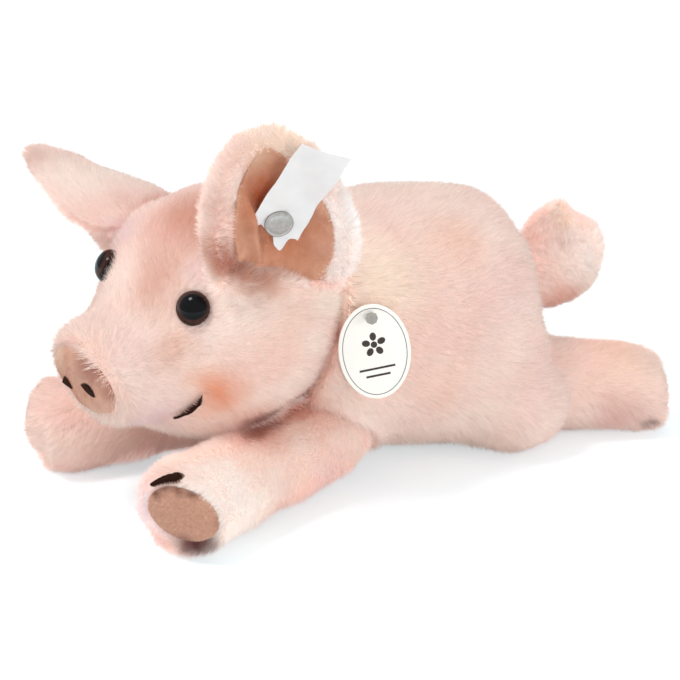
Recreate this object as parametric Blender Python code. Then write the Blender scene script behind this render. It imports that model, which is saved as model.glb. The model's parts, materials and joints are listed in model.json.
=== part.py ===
"""A lying plush piglet, built as it is sewn: covers, fillings, ears, pads, eyes, tail and tags.

Metres. +Z is up, the snout points along -Y, and the piglet's left side is +X.
The origin lies on the floor, in the middle of the flat that the belly rests on.
"""

import math

import bmesh
import bpy
from mathutils import Matrix, Vector

# Cloth, gaps and cuts that the whole toy shares
CLOTH = 0.003  # plush cloth: its backing with the pile pressed flat
FIT_GAP = 0.0003  # between pieces that touch
JOINT_GAP = 0.0008  # between pieces that turn against each other
OVERRUN = 0.002  # how far a cutter runs past what it cuts
HULL_STEP = 0.0030  # corners nearer than this are one in the room kept for a limb
WELD = 0.00001  # corners nearer than this are one after a cut
SWEEP_STEP = math.radians(7)  # between the places of a limb that its socket is cut for
FINE_SIDES = 16
TRIM_SIDES = 8

# Torso: a barrel along +Y, held up a little in front and resting on its belly behind
TORSO_FRONT_Y = -0.088
TORSO_LENGTH = 0.1120
TORSO_HALF_WIDTH = 0.0485
TORSO_CORE_Z = 0.046
TORSO_RISE = 0.050
TORSO_DROP = 0.0465
# Rows of shares: of the length, the half width, the rise and the drop
TORSO_SHARES = (
    (0.000, 0.00, 0.00, 0.00),
    (0.030, 0.42, 0.50, 0.28),
    (0.100, 0.74, 0.82, 0.60),
    (0.200, 0.90, 0.95, 0.78),
    (0.350, 0.98, 0.99, 0.87),
    (0.510, 1.00, 0.97, 0.95),
    (0.670, 0.99, 0.93, 1.00),
    (0.810, 0.92, 0.88, 1.00),
    (0.910, 0.78, 0.81, 0.98),
    (0.970, 0.55, 0.63, 0.82),
    (0.993, 0.28, 0.34, 0.45),
    (1.000, 0.00, 0.00, 0.00),
)
TORSO_SIDES = 28
TORSO_STEPS = 2
HAUNCH_PLACE = Vector((0.041, 0.006, 0.006))
HAUNCH_REACH = 0.026
HAUNCH_BULGE = 0.017
BEAN_BAG_Y = -0.025
BEAN_BAG_RADIUS = 0.017
BEAN_BAG_HEIGHT = 0.012

# Head: a ball with full cheeks, drawn out into a short snout with a flat end
HEAD_CENTRE = Vector((0.0, -0.099, 0.067))
HEAD_RADIUS = 0.043
SNOUT_REACH = 0.054
HEAD_HALF_WIDTH = 0.0420
HEAD_RISE = 0.038
HEAD_DROP = 0.042
HEAD_PITCH = math.radians(15)
HEAD_YAW = math.radians(7)
# Rows of shares: of the length from nape to nose, the half width, the rise and the drop
HEAD_SHARES = (
    (0.000, 0.00, 0.00, 0.00),
    (0.022, 0.34, 0.34, 0.32),
    (0.090, 0.66, 0.67, 0.62),
    (0.210, 0.90, 0.92, 0.87),
    (0.360, 1.00, 1.01, 0.98),
    (0.500, 1.01, 0.99, 1.03),
    (0.630, 0.92, 0.82, 1.00),
    (0.740, 0.73, 0.55, 0.88),
    (0.840, 0.60, 0.46, 0.66),
    (0.930, 0.57, 0.46, 0.49),
    (1.000, 0.49, 0.39, 0.40),
)
HEAD_SIDES = 28
HEAD_STEPS = 2
NECK_HOLE_RADIUS = 0.016

# Front legs: a stuffed tube from a ball in the chest to a flat sole
FRONT_JOINT_LEFT = Vector((0.023, -0.069, 0.0190))
FRONT_JOINT_RIGHT = Vector((-0.0215, -0.0750, 0.0190))  # the right leg reaches further forward
FRONT_LENGTH = 0.0745
FRONT_HALF_WIDTH = 0.0168
FRONT_FOOT_Z = 0.0159
FRONT_SPLAY_LEFT = math.radians(15)
FRONT_SPLAY_RIGHT = math.radians(14)
# Rows of shares: of the length from the joint to the sole, and of the half width three times
FRONT_SHARES = (
    (0.00, 0.92, 0.92, 0.92),
    (0.22, 0.92, 0.92, 0.92),
    (0.48, 0.93, 0.92, 0.94),
    (0.72, 1.02, 1.00, 0.98),
    (0.88, 1.06, 1.05, 1.00),
    (0.970, 0.98, 0.98, 0.92),
    (1.00, 0.84, 0.84, 0.80),
)

# Hind legs: shorter, stretched out behind and to the side
HIND_JOINT = Vector((0.022, 0.012, 0.0200))
HIND_LENGTH = 0.0535
HIND_HALF_WIDTH = 0.0170
HIND_FOOT_Z = 0.0156
HIND_SPLAY_LEFT = math.radians(26)
HIND_SPLAY_RIGHT = math.radians(47)
HIND_SHARES = (
    (0.00, 1.02, 1.02, 1.02),
    (0.35, 0.99, 1.00, 0.99),
    (0.65, 0.98, 0.99, 0.98),
    (0.86, 0.98, 0.98, 0.98),
    (0.96, 0.88, 0.88, 0.88),
    (1.00, 0.76, 0.76, 0.76),
)
LEG_SIDES = 20
LEG_STEPS = 1
BALL_RINGS = 4
LEG_HOLE_SHARE = 0.45

# Soles and the dark clefts between the toes
PAD_THICKNESS = 0.0015
CLEFT_RADIUS = 0.0014
CLEFT_ROWS = 1.6  # from the sole to the cleft's start, in rows of the leg
CLEFT_SHORT_ROWS = 0.5  # from the sole to its end
CLEFT_POINTS = 5
FRONT_CLEFT_ANGLE = math.radians(90)
HIND_CLEFT_ANGLE = math.radians(-45)

# Ears: a cupped leaf of plush with a thin velour lining
EAR_LENGTH = 0.049
EAR_ROOT = 0.010
EAR_HALF_WIDTH = 0.0245
EAR_CURL_RADIUS = 0.030
EAR_THICKNESS = 0.0035
LINING_THICKNESS = 0.0012
LINING_MARGIN = 0.0030
# Shares of the half width along the ear, from root to tip
EAR_SHARES = (0.66, 0.86, 0.98, 1.00, 0.94, 0.81, 0.60, 0.27)
EAR_COLUMNS = 8
EAR_PLACE_LEFT = Vector((0.0355, -0.0925, 0.0905))
EAR_AXIS_LEFT = Vector((0.10, -0.24, 0.965))
EAR_HOLLOW_LEFT = Vector((0.93, -0.36, 0.05))
EAR_PLACE_RIGHT = Vector((-0.0345, -0.1045, 0.0920))
EAR_AXIS_RIGHT = Vector((-0.88, -0.46, 0.22))
EAR_HOLLOW_RIGHT = Vector((-0.10, -0.30, -0.95))

# Eyes: a glossy dome on a shank, held by a washer behind the cloth
EYE_RADIUS = 0.0055
EYE_HEIGHT = 0.0042
EYE_SINK = 0.0012
SHANK_RADIUS = 0.0015
SHANK_LENGTH = 0.009
WASHER_RADIUS = 0.005
WASHER_THICKNESS = 0.0012
WASHER_DROP = 0.0010  # from the flat of the cloth's back, where the cheek curves, to the washer
EYE_ROW = 6.4
EYE_ANGLE = math.radians(46)
EYE_RINGS = 4

# Nose pad with two nostrils
NOSE_HALF_WIDTH = 0.0160
NOSE_HALF_HEIGHT = 0.0118
NOSE_THICKNESS = 0.0018
NOSTRIL_HALF_WIDTH = 0.0020
NOSTRIL_HALF_HEIGHT = 0.0026
NOSTRIL_OFFSET_SHARE = 0.38
NOSTRIL_DROP_SHARE = 0.35
NOSE_SIDES = 24
OTHER_SIDE = {"left": "right", "right": "left"}

# Mouth: one curved stitch on each side
MOUTH_RADIUS = 0.0010
MOUTH_ROWS = (8.4, 8.1, 7.8, 7.5, 7.25, 7.1)
MOUTH_ANGLES = tuple(math.radians(angle) for angle in (-43, -40, -35, -28, -21, -15))
MOUTH_TAPER_SHARES = (0.35, 0.55, 0.75, 0.95, 1.0, 0.7)

# Tail: a tapering tube that curls up and over
TAIL_JOINT = Vector((0.0, TORSO_FRONT_Y + TORSO_LENGTH - 0.005, 0.0475))
TAIL_REACH = 0.028
TAIL_CURL_RADIUS = 0.0112
TAIL_TURN = math.radians(330)
TAIL_SHIFT = 0.007
TAIL_RADIUS = 0.0095
TAIL_TIP_SHARE = 0.42
TAIL_TIGHTEN_SHARE = 0.25
TAIL_BALL_RADIUS = 0.0105
TAIL_POINTS = 14
TAIL_SIDES = 12

# Hang tag: an oval card on the left shoulder, held by a thread
TAG_HALF_WIDTH = 0.0122
TAG_HALF_HEIGHT = 0.0160
TAG_THICKNESS = 0.0008
TAG_ROW = 3.15
TAG_ANGLE = math.radians(13)
TAG_RISE = 0.0120  # from where the card touches the torso up to its hole
TAG_HOLE_RADIUS = 0.0018
TAG_HOLE_DROP = 0.0040
TAG_PIN_RADIUS = 0.0004
TAG_HEAD_RADIUS = 0.0021
TAG_HEAD_RISE = 0.0034
TAG_ANCHOR_RADIUS = 0.0015
TAG_ANCHOR_DEPTH = 0.0085

# Ear label: a strip of satin under a domed rivet
LABEL_LENGTH = 0.034
LABEL_HALF_WIDTH = 0.0078
LABEL_THICKNESS = 0.0005
RIVET_RADIUS = 0.0045
RIVET_HEIGHT = 0.0016
RIVET_SHANK_RADIUS = 0.0012
RIVET_REACH = 0.0195  # from the root of the ear up to the rivet
RIVET_ACROSS = 0.001
RIVET_GRIP = 0.0090  # from the label down to the back plate
LABEL_TAIL = 0.0050  # from the rivet down to the label's lower end
LABEL_FLAT = 0.0050  # from the rivet up to where the label starts to bend out
LABEL_LEAN = math.radians(34)
LABEL_BEND = math.radians(20)
LABEL_LIFT = 0.0024  # from the lining up to the label
LABEL_STEPS = 6

# How far the joints turn; the sockets are cut for these
FRONT_SWING = (0.0, math.radians(20))
HIND_SWING = (math.radians(-12), math.radians(18))
TAIL_SWING = math.radians(20)
HEAD_TURN = math.radians(8)
EAR_FLAP = (0, math.radians(-15), math.radians(25))
DISH_GAP = 0.0020  # between the ball of the head and the hollow that it turns in

SHARP_ANGLE = math.radians(35)

# Colour, roughness and metallic value of each finish
FINISHES = {
    "plush": ((0.86, 0.63, 0.54), 0.95, 0.0),
    "filling": ((0.85, 0.84, 0.82), 0.95, 0.0),
    "canvas": ((0.70, 0.64, 0.55), 0.90, 0.0),
    "velour": ((0.50, 0.26, 0.20), 0.85, 0.0),
    "lining": ((0.57, 0.27, 0.16), 0.90, 0.0),
    "pad": ((0.55, 0.30, 0.21), 0.85, 0.0),
    "dark": ((0.05, 0.02, 0.01), 0.80, 0.0),
    "thread": ((0.16, 0.07, 0.04), 0.80, 0.0),
    "eye": ((0.02, 0.01, 0.01), 0.05, 0.0),
    "plastic": ((0.80, 0.80, 0.78), 0.40, 0.0),
    "card": ((0.83, 0.80, 0.72), 0.60, 0.0),
    "satin": ((0.76, 0.76, 0.75), 0.45, 0.0),
    "metal": ((0.40, 0.40, 0.41), 0.35, 0.9),
}


class Form:
    """A stuffed tube about a spine. A row is (place along, half width, rise, drop)."""

    def __init__(self, spine, rows, sides, steps, flat_end=False, bumps=()):
        self.spine = spine
        self.rows = rows
        self.sides = sides
        self.steps = steps
        self.flat_end = flat_end
        self.bumps = bumps

    def row(self, t):
        """The row at t, counted from the first row, on a smooth curve through them all."""
        last = len(self.rows) - 1
        i = max(0, min(int(t), last - 1))
        f = t - i
        a = self.rows[max(i - 1, 0)]
        b = self.rows[i]
        c = self.rows[i + 1]
        d = self.rows[min(i + 2, last)]
        smooth = []
        for p, q, r, s in zip(a, b, c, d):
            bend = (r - p) * f + (2 * p - 5 * q + 4 * r - s) * f * f
            smooth.append(q + (bend + (3 * q - p - 3 * r + s) * f ** 3) / 2)
        return smooth

    def point(self, t, angle, grow=0.0):
        """A point of the surface. Angle 0 is the side direction, and a quarter turn is up."""
        along, width, rise, drop = self.row(t)
        across = math.cos(angle)
        above = math.sin(angle)
        height = rise if above > 0 else drop
        middle, side, up = self.spine(along)
        plain = middle + side * (width * across) + up * (height * above)
        push = 0
        for centre, reach, bulge in self.bumps:
            push += bulge * abs(across) * math.exp(-((plain - centre).length / reach) ** 2)
        arm = side * (max(width + grow, 0) * across) + up * (max(height + grow, 0) * above)
        first = self.rows[0][0]
        share = (along - first) / (self.rows[-1][0] - first)
        return self.spine(along + grow * (2 * share - 1))[0] + arm + arm.normalized() * push

    def pole(self, end, grow):
        """The middle of the first or the last row."""
        along = self.rows[end][0]
        return self.spine(along - grow if end == 0 else along + grow)[0]

    def normal(self, t, angle):
        """The outward direction of the surface."""
        step = 1 / 64
        ahead = self.point(t + step, angle) - self.point(t - step, angle)
        around = self.point(t, angle + step) - self.point(t, angle - step)
        out = around.cross(ahead).normalized()
        middle = self.spine(self.row(t)[0])[0]
        return out if out.dot(self.point(t, angle) - middle) > 0 else -out

    def mesh(self, name, grow=0.0):
        """The form as a closed mesh, grown or shrunk all round; shrunk ones are coarser."""
        sides = self.sides
        steps = self.steps if grow >= 0 else 1
        count = (len(self.rows) - 1) * steps
        open_end = count if self.flat_end else count - 1
        stations = [i / steps for i in range(1, open_end + 1)]
        turn = 2 * math.pi / sides
        verts = [self.point(t, turn * k, grow) for t in stations for k in range(sides)]
        faces = []
        for i in range(len(stations) - 1):
            for k in range(sides):
                n = (k + 1) % sides
                low = i * sides
                faces.append((low + k, low + n, low + sides + n))
                faces.append((low + k, low + sides + n, low + sides + k))
        back = len(verts)
        verts.append(self.pole(0, grow))
        faces += [(back, (k + 1) % sides, k) for k in range(sides)]
        top = (len(stations) - 1) * sides
        if self.flat_end:
            faces.append(tuple(top + k for k in range(sides)))
        else:
            verts.append(self.pole(-1, grow))
            faces += [(back + 1, top + k, top + (k + 1) % sides) for k in range(sides)]
        return mesh_of(name, verts, faces)


def mesh_of(name, verts, faces):
    """A mesh of these corners and faces, with its faces turned outwards."""
    mesh = bpy.data.meshes.new(name)
    mesh.from_pydata([tuple(v) for v in verts], [], faces)
    shape = bmesh.new()
    shape.from_mesh(mesh)
    bmesh.ops.recalc_face_normals(shape, faces=shape.faces)
    shape.to_mesh(mesh)
    shape.free()
    mesh.shade_smooth()
    return mesh


def add(name, mesh):
    obj = bpy.data.objects.new(name, mesh)
    bpy.context.scene.collection.objects.link(obj)
    return obj


def combine(obj, mesh, operation):
    """Cuts the object with a mesh, or joins the mesh to it, and leaves no modifier."""
    tool = add("tool", mesh)
    boolean = obj.modifiers.new("cut", "BOOLEAN")
    boolean.operation = operation
    boolean.object = tool
    bpy.context.view_layer.update()
    result = bpy.data.meshes.new_from_object(obj.evaluated_get(bpy.context.evaluated_depsgraph_get()))
    obj.modifiers.remove(boolean)
    shape = bmesh.new()
    shape.from_mesh(result)
    bmesh.ops.remove_doubles(shape, verts=shape.verts, dist=WELD)
    bmesh.ops.dissolve_degenerate(shape, edges=shape.edges, dist=WELD)
    shape.to_mesh(result)
    shape.free()
    obj.data = result
    bpy.data.objects.remove(tool, do_unlink=True)


def cut(obj, *meshes):
    for mesh in meshes:
        combine(obj, mesh, "DIFFERENCE")


def moved(mesh, matrix):
    mesh.transform(matrix)
    return mesh


def frame_at(place, out, up):
    """A matrix whose Z runs out, whose Y is nearest to up, and whose origin is the place."""
    z = out.normalized()
    x = up.cross(z).normalized()
    y = z.cross(x)
    return Matrix.Translation(place) @ Matrix((x, y, z)).transposed().to_4x4()


def turned(profile, sides, name="turned"):
    """A body turned about Z from (radius, height) points that start and end on the axis."""
    rings = profile[1:-1]
    turn = 2 * math.pi / sides
    verts = [Vector((r * math.cos(turn * k), r * math.sin(turn * k), z)) for r, z in rings for k in range(sides)]
    faces = []
    for i in range(len(rings) - 1):
        for k in range(sides):
            n = (k + 1) % sides
            faces.append((i * sides + k, i * sides + n, (i + 1) * sides + n, (i + 1) * sides + k))
    low = len(verts)
    verts += [Vector((0, 0, profile[0][1])), Vector((0, 0, profile[-1][1]))]
    top = (len(rings) - 1) * sides
    faces += [(low, (k + 1) % sides, k) for k in range(sides)]
    faces += [(low + 1, top + k, top + (k + 1) % sides) for k in range(sides)]
    return mesh_of(name, verts, faces)


def rod(radius, low, high, sides=FINE_SIDES):
    return turned([(0, low), (radius, low), (radius, high), (0, high)], sides, "rod")


def ball(centre, radius, sides=32):
    mesh = bpy.data.meshes.new("ball")
    shape = bmesh.new()
    bmesh.ops.create_uvsphere(shape, u_segments=sides, v_segments=sides // 2, radius=radius)
    shape.to_mesh(mesh)
    shape.free()
    return moved(mesh, Matrix.Translation(centre))


def floor_block():
    """All that lies under the floor, as one block."""
    reach = TORSO_LENGTH * 2
    mesh = bpy.data.meshes.new("floor")
    shape = bmesh.new()
    bmesh.ops.create_cube(shape, size=reach * 2)
    shape.to_mesh(mesh)
    shape.free()
    return moved(mesh, Matrix.Translation((0, 0, -reach)))


def tube(points, radii, sides, over=0.0):
    """A round tube through the points, with pointed ends that reach a little further."""
    rings = []
    side = None
    for i, point in enumerate(points):
        ahead = (points[min(i + 1, len(points) - 1)] - points[max(i - 1, 0)]).normalized()
        if side is None:
            side = ahead.orthogonal().normalized()
        side = (side - ahead * side.dot(ahead)).normalized()
        up = ahead.cross(side)
        rings.append([
            point + (side * math.cos(2 * math.pi * k / sides) + up * math.sin(2 * math.pi * k / sides)) * radii[i]
            for k in range(sides)
        ])
    verts = [p for ring in rings for p in ring]
    faces = []
    for i in range(len(rings) - 1):
        for k in range(sides):
            n = (k + 1) % sides
            faces.append((i * sides + k, i * sides + n, (i + 1) * sides + n, (i + 1) * sides + k))
    low = len(verts)
    start = (points[0] - points[1]).normalized() * (radii[0] / 2 + over)
    end = (points[-1] - points[-2]).normalized() * (radii[-1] / 2 + over)
    verts += [points[0] + start, points[-1] + end]
    top = (len(rings) - 1) * sides
    faces += [(low, (k + 1) % sides, k) for k in range(sides)]
    faces += [(low + 1, top + k, top + (k + 1) % sides) for k in range(sides)]
    return mesh_of("tube", verts, faces)


def straight(origin, forward, up):
    side = forward.cross(up).normalized()
    lift = side.cross(forward).normalized()
    return lambda along: (origin + forward * along, side, lift)


def torso_form():
    rows = []
    for share, width, rise, drop in TORSO_SHARES:
        rows.append((share * TORSO_LENGTH, width * TORSO_HALF_WIDTH, rise * TORSO_RISE, drop * TORSO_DROP))
    origin = Vector((0, TORSO_FRONT_Y, TORSO_CORE_Z))
    bumps = [(Vector((side * HAUNCH_PLACE.x, HAUNCH_PLACE.y, HAUNCH_PLACE.z)), HAUNCH_REACH, HAUNCH_BULGE)
             for side in (1, -1)]
    return Form(straight(origin, Vector((0, 1, 0)), Vector((0, 0, 1))), rows, TORSO_SIDES, TORSO_STEPS,
                bumps=bumps)


def head_turn():
    return Matrix.Rotation(HEAD_YAW, 3, "Z") @ Matrix.Rotation(HEAD_PITCH, 3, "X")


def head_form():
    turn = head_turn()
    length = HEAD_RADIUS + SNOUT_REACH
    rows = []
    for share, width, rise, drop in HEAD_SHARES:
        rows.append((share * length - HEAD_RADIUS, width * HEAD_HALF_WIDTH, rise * HEAD_RISE, drop * HEAD_DROP))
    spine = straight(HEAD_CENTRE, turn @ Vector((0, -1, 0)), turn @ Vector((0, 0, 1)))
    return Form(spine, rows, HEAD_SIDES, HEAD_STEPS, flat_end=True)


def leg_form(joint, length, half_width, foot_z, splay, shares, backwards):
    """A leg from the ball about its joint to its sole; splay turns the foot outwards."""
    run = math.sqrt(length ** 2 - (joint.z - foot_z) ** 2)
    out = math.copysign(1, joint.x)
    ahead = 1 if backwards else -1
    foot = joint + Vector((out * run * math.sin(splay), ahead * run * math.cos(splay), foot_z - joint.z))
    rows = []
    for i in range(BALL_RINGS):
        angle = math.pi / 2 * i / BALL_RINGS
        reach = half_width * shares[0][1]
        rows.append((-reach * math.cos(angle), reach * math.sin(angle), reach * math.sin(angle),
                     reach * math.sin(angle)))
    for share, width, rise, drop in shares:
        rows.append((share * length, width * half_width, rise * half_width, drop * half_width))
    spine = straight(joint, (foot - joint).normalized(), Vector((0, 0, 1)))
    return Form(spine, rows, LEG_SIDES, LEG_STEPS, flat_end=True)


def front_joint(side):
    return FRONT_JOINT_LEFT if side > 0 else FRONT_JOINT_RIGHT


def front_leg_form(side, swing=0.0):
    splay = FRONT_SPLAY_LEFT if side > 0 else FRONT_SPLAY_RIGHT
    return leg_form(front_joint(side), FRONT_LENGTH, FRONT_HALF_WIDTH, FRONT_FOOT_Z,
                    splay + swing, FRONT_SHARES, backwards=False)


def hind_joint(side):
    return Vector((side * HIND_JOINT.x, HIND_JOINT.y, HIND_JOINT.z))


def hind_leg_form(side, swing=0.0):
    splay = HIND_SPLAY_LEFT if side > 0 else HIND_SPLAY_RIGHT
    return leg_form(hind_joint(side), HIND_LENGTH, HIND_HALF_WIDTH, HIND_FOOT_Z,
                    splay + swing, HIND_SHARES, backwards=True)


def clear_scene():
    for obj in list(bpy.data.objects):
        bpy.data.objects.remove(obj, do_unlink=True)


def ear_frame(place, axis, hollow):
    """The ear's directions: along it, out of its hollow, and across it."""
    along = axis.normalized()
    out = (hollow - along * hollow.dot(along)).normalized()
    return place, along, out, along.cross(out)


def ear_point(frame, reach, across, depth):
    """A point of the cupped leaf; depth runs from the middle of the plush into the hollow."""
    place, along, out, side = frame
    angle = across / EAR_CURL_RADIUS
    radius = EAR_CURL_RADIUS - depth
    lift = EAR_CURL_RADIUS - radius * math.cos(angle)
    return place + along * reach + side * (radius * math.sin(angle)) + out * lift


def ear_sheet(frame, low, high, margin):
    """The leaf between two depths, from inside the head to the tip."""
    rows = len(EAR_SHARES)
    total = EAR_ROOT + EAR_LENGTH - margin
    width = EAR_COLUMNS + 1
    grid = []
    for depth in (low, high):
        for i, share in enumerate(EAR_SHARES):
            half = share * EAR_HALF_WIDTH - margin
            reach = total * i / (rows - 1) - EAR_ROOT
            for k in range(width):
                grid.append(ear_point(frame, reach, (2 * k / EAR_COLUMNS - 1) * half, depth))
    layer = rows * width
    faces = []
    for i in range(rows - 1):
        for k in range(EAR_COLUMNS):
            a = i * width + k
            quad = (a, a + 1, a + width + 1, a + width)
            faces.append(quad)
            faces.append(tuple(layer + v for v in reversed(quad)))
    rim = list(range(width))
    rim += [i * width + EAR_COLUMNS for i in range(1, rows)]
    rim += [(rows - 1) * width + k for k in range(EAR_COLUMNS - 1, -1, -1)]
    rim += [i * width for i in range(rows - 2, 0, -1)]
    for i, a in enumerate(rim):
        b = rim[(i + 1) % len(rim)]
        faces.append((b, a, layer + a, layer + b))
    return mesh_of("ear", grid, faces)


def tail_path():
    """The middle of the tail: straight out, then a curl up and over."""
    points = [TAIL_JOINT + Vector((0, TAIL_REACH * i / 3, 0)) for i in range(4)]
    centre = points[-1] + Vector((0, 0, TAIL_CURL_RADIUS))
    for i in range(1, TAIL_POINTS):
        share = i / (TAIL_POINTS - 1)
        angle = TAIL_TURN * share
        radius = TAIL_CURL_RADIUS * (1 - TAIL_TIGHTEN_SHARE * share)
        arm = Vector((TAIL_SHIFT * share, radius * math.sin(angle), -radius * math.cos(angle)))
        points.append(centre + arm)
    return points


def hull(name, *meshes):
    """The tightest form round several meshes."""
    shape = bmesh.new()
    for mesh in meshes:
        for vert in mesh.vertices:
            shape.verts.new(vert.co)
    bmesh.ops.remove_doubles(shape, verts=shape.verts, dist=HULL_STEP)
    bmesh.ops.convex_hull(shape, input=shape.verts)
    spare = [vert for vert in shape.verts if not vert.link_faces]
    bmesh.ops.delete(shape, geom=spare, context="VERTS")
    bmesh.ops.recalc_face_normals(shape, faces=shape.faces)
    made = bpy.data.meshes.new(name)
    shape.to_mesh(made)
    shape.free()
    return made


def swept(form, swing, side):
    """All the room that a leg takes up between the limits of its swing."""
    low, high = swing
    steps = math.ceil((high - low) / SWEEP_STEP)
    places = [form(side, low + (high - low) * i / steps).mesh("place", JOINT_GAP) for i in range(steps + 1)]
    return hull("sweep", *places)


def head_room(joint, swing, grow):
    """All the room that the head takes up as it turns, seen from a leg that has swung."""
    axis = Matrix.Translation(HEAD_CENTRE)
    leg = Matrix.Translation(joint) @ Matrix.Rotation(-swing, 4, "Z") @ Matrix.Translation(-joint)
    places = []
    for angle in (-HEAD_TURN, 0, HEAD_TURN):
        turn = leg @ axis @ Matrix.Rotation(angle, 4, "Z") @ axis.inverted()
        places.append(moved(head_form().mesh("head", JOINT_GAP + grow), turn))
    return hull("head_room", *places)


def pressed(name, form, joint, grow, swings):
    """A leg's form, grown or shrunk, with the hollow that the chin presses into it."""
    obj = add(name, form.mesh(name, grow))
    for swing in swings:
        cut(obj, head_room(joint, math.copysign(swing, joint.x), -grow))
    return obj


def taken(obj):
    """The mesh of an object that is not needed any more."""
    mesh = obj.data
    bpy.data.objects.remove(obj, do_unlink=True)
    return mesh


def material(name, kind):
    colour, roughness, metallic = FINISHES[kind]
    made = bpy.data.materials.new(name)
    made.use_nodes = True
    shader = made.node_tree.nodes["Principled BSDF"]
    shader.inputs["Base Color"].default_value = (*colour, 1)
    shader.inputs["Roughness"].default_value = roughness
    shader.inputs["Metallic"].default_value = metallic
    return made


def piece(name, mesh, kind, pivot=None):
    """A named piece, with its origin on its joint where it moves."""
    obj = add(name, mesh)
    obj.data.materials.clear()
    obj.data.materials.append(material(name, kind))
    if pivot is not None:
        obj.data.transform(Matrix.Translation(-pivot))
        obj.location = pivot
    return obj


def finish(obj, kind, pivot=None):
    """Gives a cut piece its material and its origin."""
    name = obj.name
    mesh = obj.data
    bpy.data.objects.remove(obj, do_unlink=True)
    mesh.shade_smooth()
    mesh.set_sharp_from_angle(angle=SHARP_ANGLE)
    return piece(name, mesh, kind, pivot)


def torso_sockets():
    """Cutters that clear the torso of the head, the legs and the tail."""
    cutters = []
    for side in (1, -1):
        cutters.append(swept(front_leg_form, FRONT_SWING, side))
        cutters.append(swept(hind_leg_form, HIND_SWING, side))
    places = []
    for angle in (-TAIL_SWING, 0, TAIL_SWING):
        turn = Matrix.Translation(TAIL_JOINT) @ Matrix.Rotation(angle, 4, "Z") @ Matrix.Translation(-TAIL_JOINT)
        reach = Vector((0, TAIL_REACH, 0))
        root = tube([TAIL_JOINT, TAIL_JOINT + reach], [TAIL_RADIUS + JOINT_GAP] * 2, FINE_SIDES)
        places.append(moved(root, turn))
    cutters.append(hull("tail_room", *places))
    cutters.append(ball(TAIL_JOINT, TAIL_BALL_RADIUS + JOINT_GAP, FINE_SIDES))
    cutters.append(ball(HEAD_CENTRE, HEAD_RADIUS + DISH_GAP))
    return cutters


def bean_bag_rod(grow):
    top = CLOTH + BEAN_BAG_HEIGHT + grow
    rod_mesh = rod(BEAN_BAG_RADIUS + grow, -CLOTH, top, sides=LEG_SIDES)
    return moved(rod_mesh, Matrix.Translation((0, BEAN_BAG_Y, 0)))


def make_torso():
    form = torso_form()
    inside = -CLOTH - FIT_GAP
    frame = tag_frame()
    cover = add("torso_cover", form.mesh("torso_cover"))
    cut(cover, form.mesh("inside", -CLOTH), *torso_sockets(), floor_block())
    cut(cover, moved(rod(TAG_PIN_RADIUS + FIT_GAP, -TAG_ANCHOR_DEPTH, TAG_HEAD_RISE), frame))
    finish(cover, "plush")
    filling = add("torso_stuffing", form.mesh("torso_stuffing", inside))
    anchor = rod(TAG_ANCHOR_RADIUS + FIT_GAP, -TAG_ANCHOR_DEPTH - FIT_GAP, TAG_HEAD_RISE)
    cut(filling, *torso_sockets(), bean_bag_rod(FIT_GAP), moved(anchor, frame))
    finish(filling, "filling")
    bag = add("bean_bag", bean_bag_rod(0))
    combine(bag, form.mesh("bag", inside - FIT_GAP), "INTERSECT")
    finish(bag, "canvas")


def eye_frame(form, side):
    angle = math.pi - EYE_ANGLE if side > 0 else EYE_ANGLE
    place = form.point(EYE_ROW, angle)
    return frame_at(place, form.normal(EYE_ROW, angle), Vector((0, 0, 1)))


def make_head():
    form = head_form()
    cover = add("head_cover", form.mesh("head_cover"))
    back = form.spine(-HEAD_RADIUS)[0]
    neck = moved(rod(NECK_HOLE_RADIUS, -CLOTH - OVERRUN, OVERRUN),
                 frame_at(back, back - HEAD_CENTRE, Vector((0, 0, 1))))
    cut(cover, form.mesh("inside", -CLOTH), neck)
    filling = add("head_stuffing", form.mesh("head_stuffing", -CLOTH - FIT_GAP))
    for side, name in ((1, "left"), (-1, "right")):
        frame = eye_frame(form, side)
        seat = rod(EYE_RADIUS + FIT_GAP, -EYE_SINK - FIT_GAP, OVERRUN)
        hole = rod(SHANK_RADIUS + FIT_GAP, -SHANK_LENGTH, OVERRUN)
        cut(cover, moved(seat, frame), moved(hole, frame))
        washer_top = -CLOTH - WASHER_DROP
        washer_low = washer_top - WASHER_THICKNESS
        room = rod(WASHER_RADIUS + FIT_GAP, washer_low - FIT_GAP, 0)
        deep = rod(SHANK_RADIUS + FIT_GAP, -EYE_SINK - SHANK_LENGTH - FIT_GAP, 0)
        cut(filling, moved(room, frame), moved(deep, frame))
        make_eye(name, frame)
        washer = add("eye_washer_" + name, moved(rod(WASHER_RADIUS, washer_low, washer_top), frame))
        cut(washer, moved(rod(SHANK_RADIUS + FIT_GAP, washer_low - OVERRUN, 0), frame))
        finish(washer, "plastic")
        make_mouth(form, side, name)
    finish(cover, "plush", HEAD_CENTRE)
    finish(filling, "filling", HEAD_CENTRE)
    make_nose(form)


def make_eye(name, frame):
    """A dome from its back to its top, on a shank."""
    profile = [(0, -EYE_SINK - SHANK_LENGTH), (SHANK_RADIUS, -EYE_SINK - SHANK_LENGTH),
               (SHANK_RADIUS, -EYE_SINK), (EYE_RADIUS, -EYE_SINK), (EYE_RADIUS, 0)]
    for i in range(1, EYE_RINGS):
        angle = math.pi / 2 * i / EYE_RINGS
        profile.append((EYE_RADIUS * math.cos(angle), EYE_HEIGHT * math.sin(angle)))
    profile.append((0, EYE_HEIGHT))
    eye = add("eye_" + name, moved(turned(profile, FINE_SIDES), frame))
    finish(eye, "eye")


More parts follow.
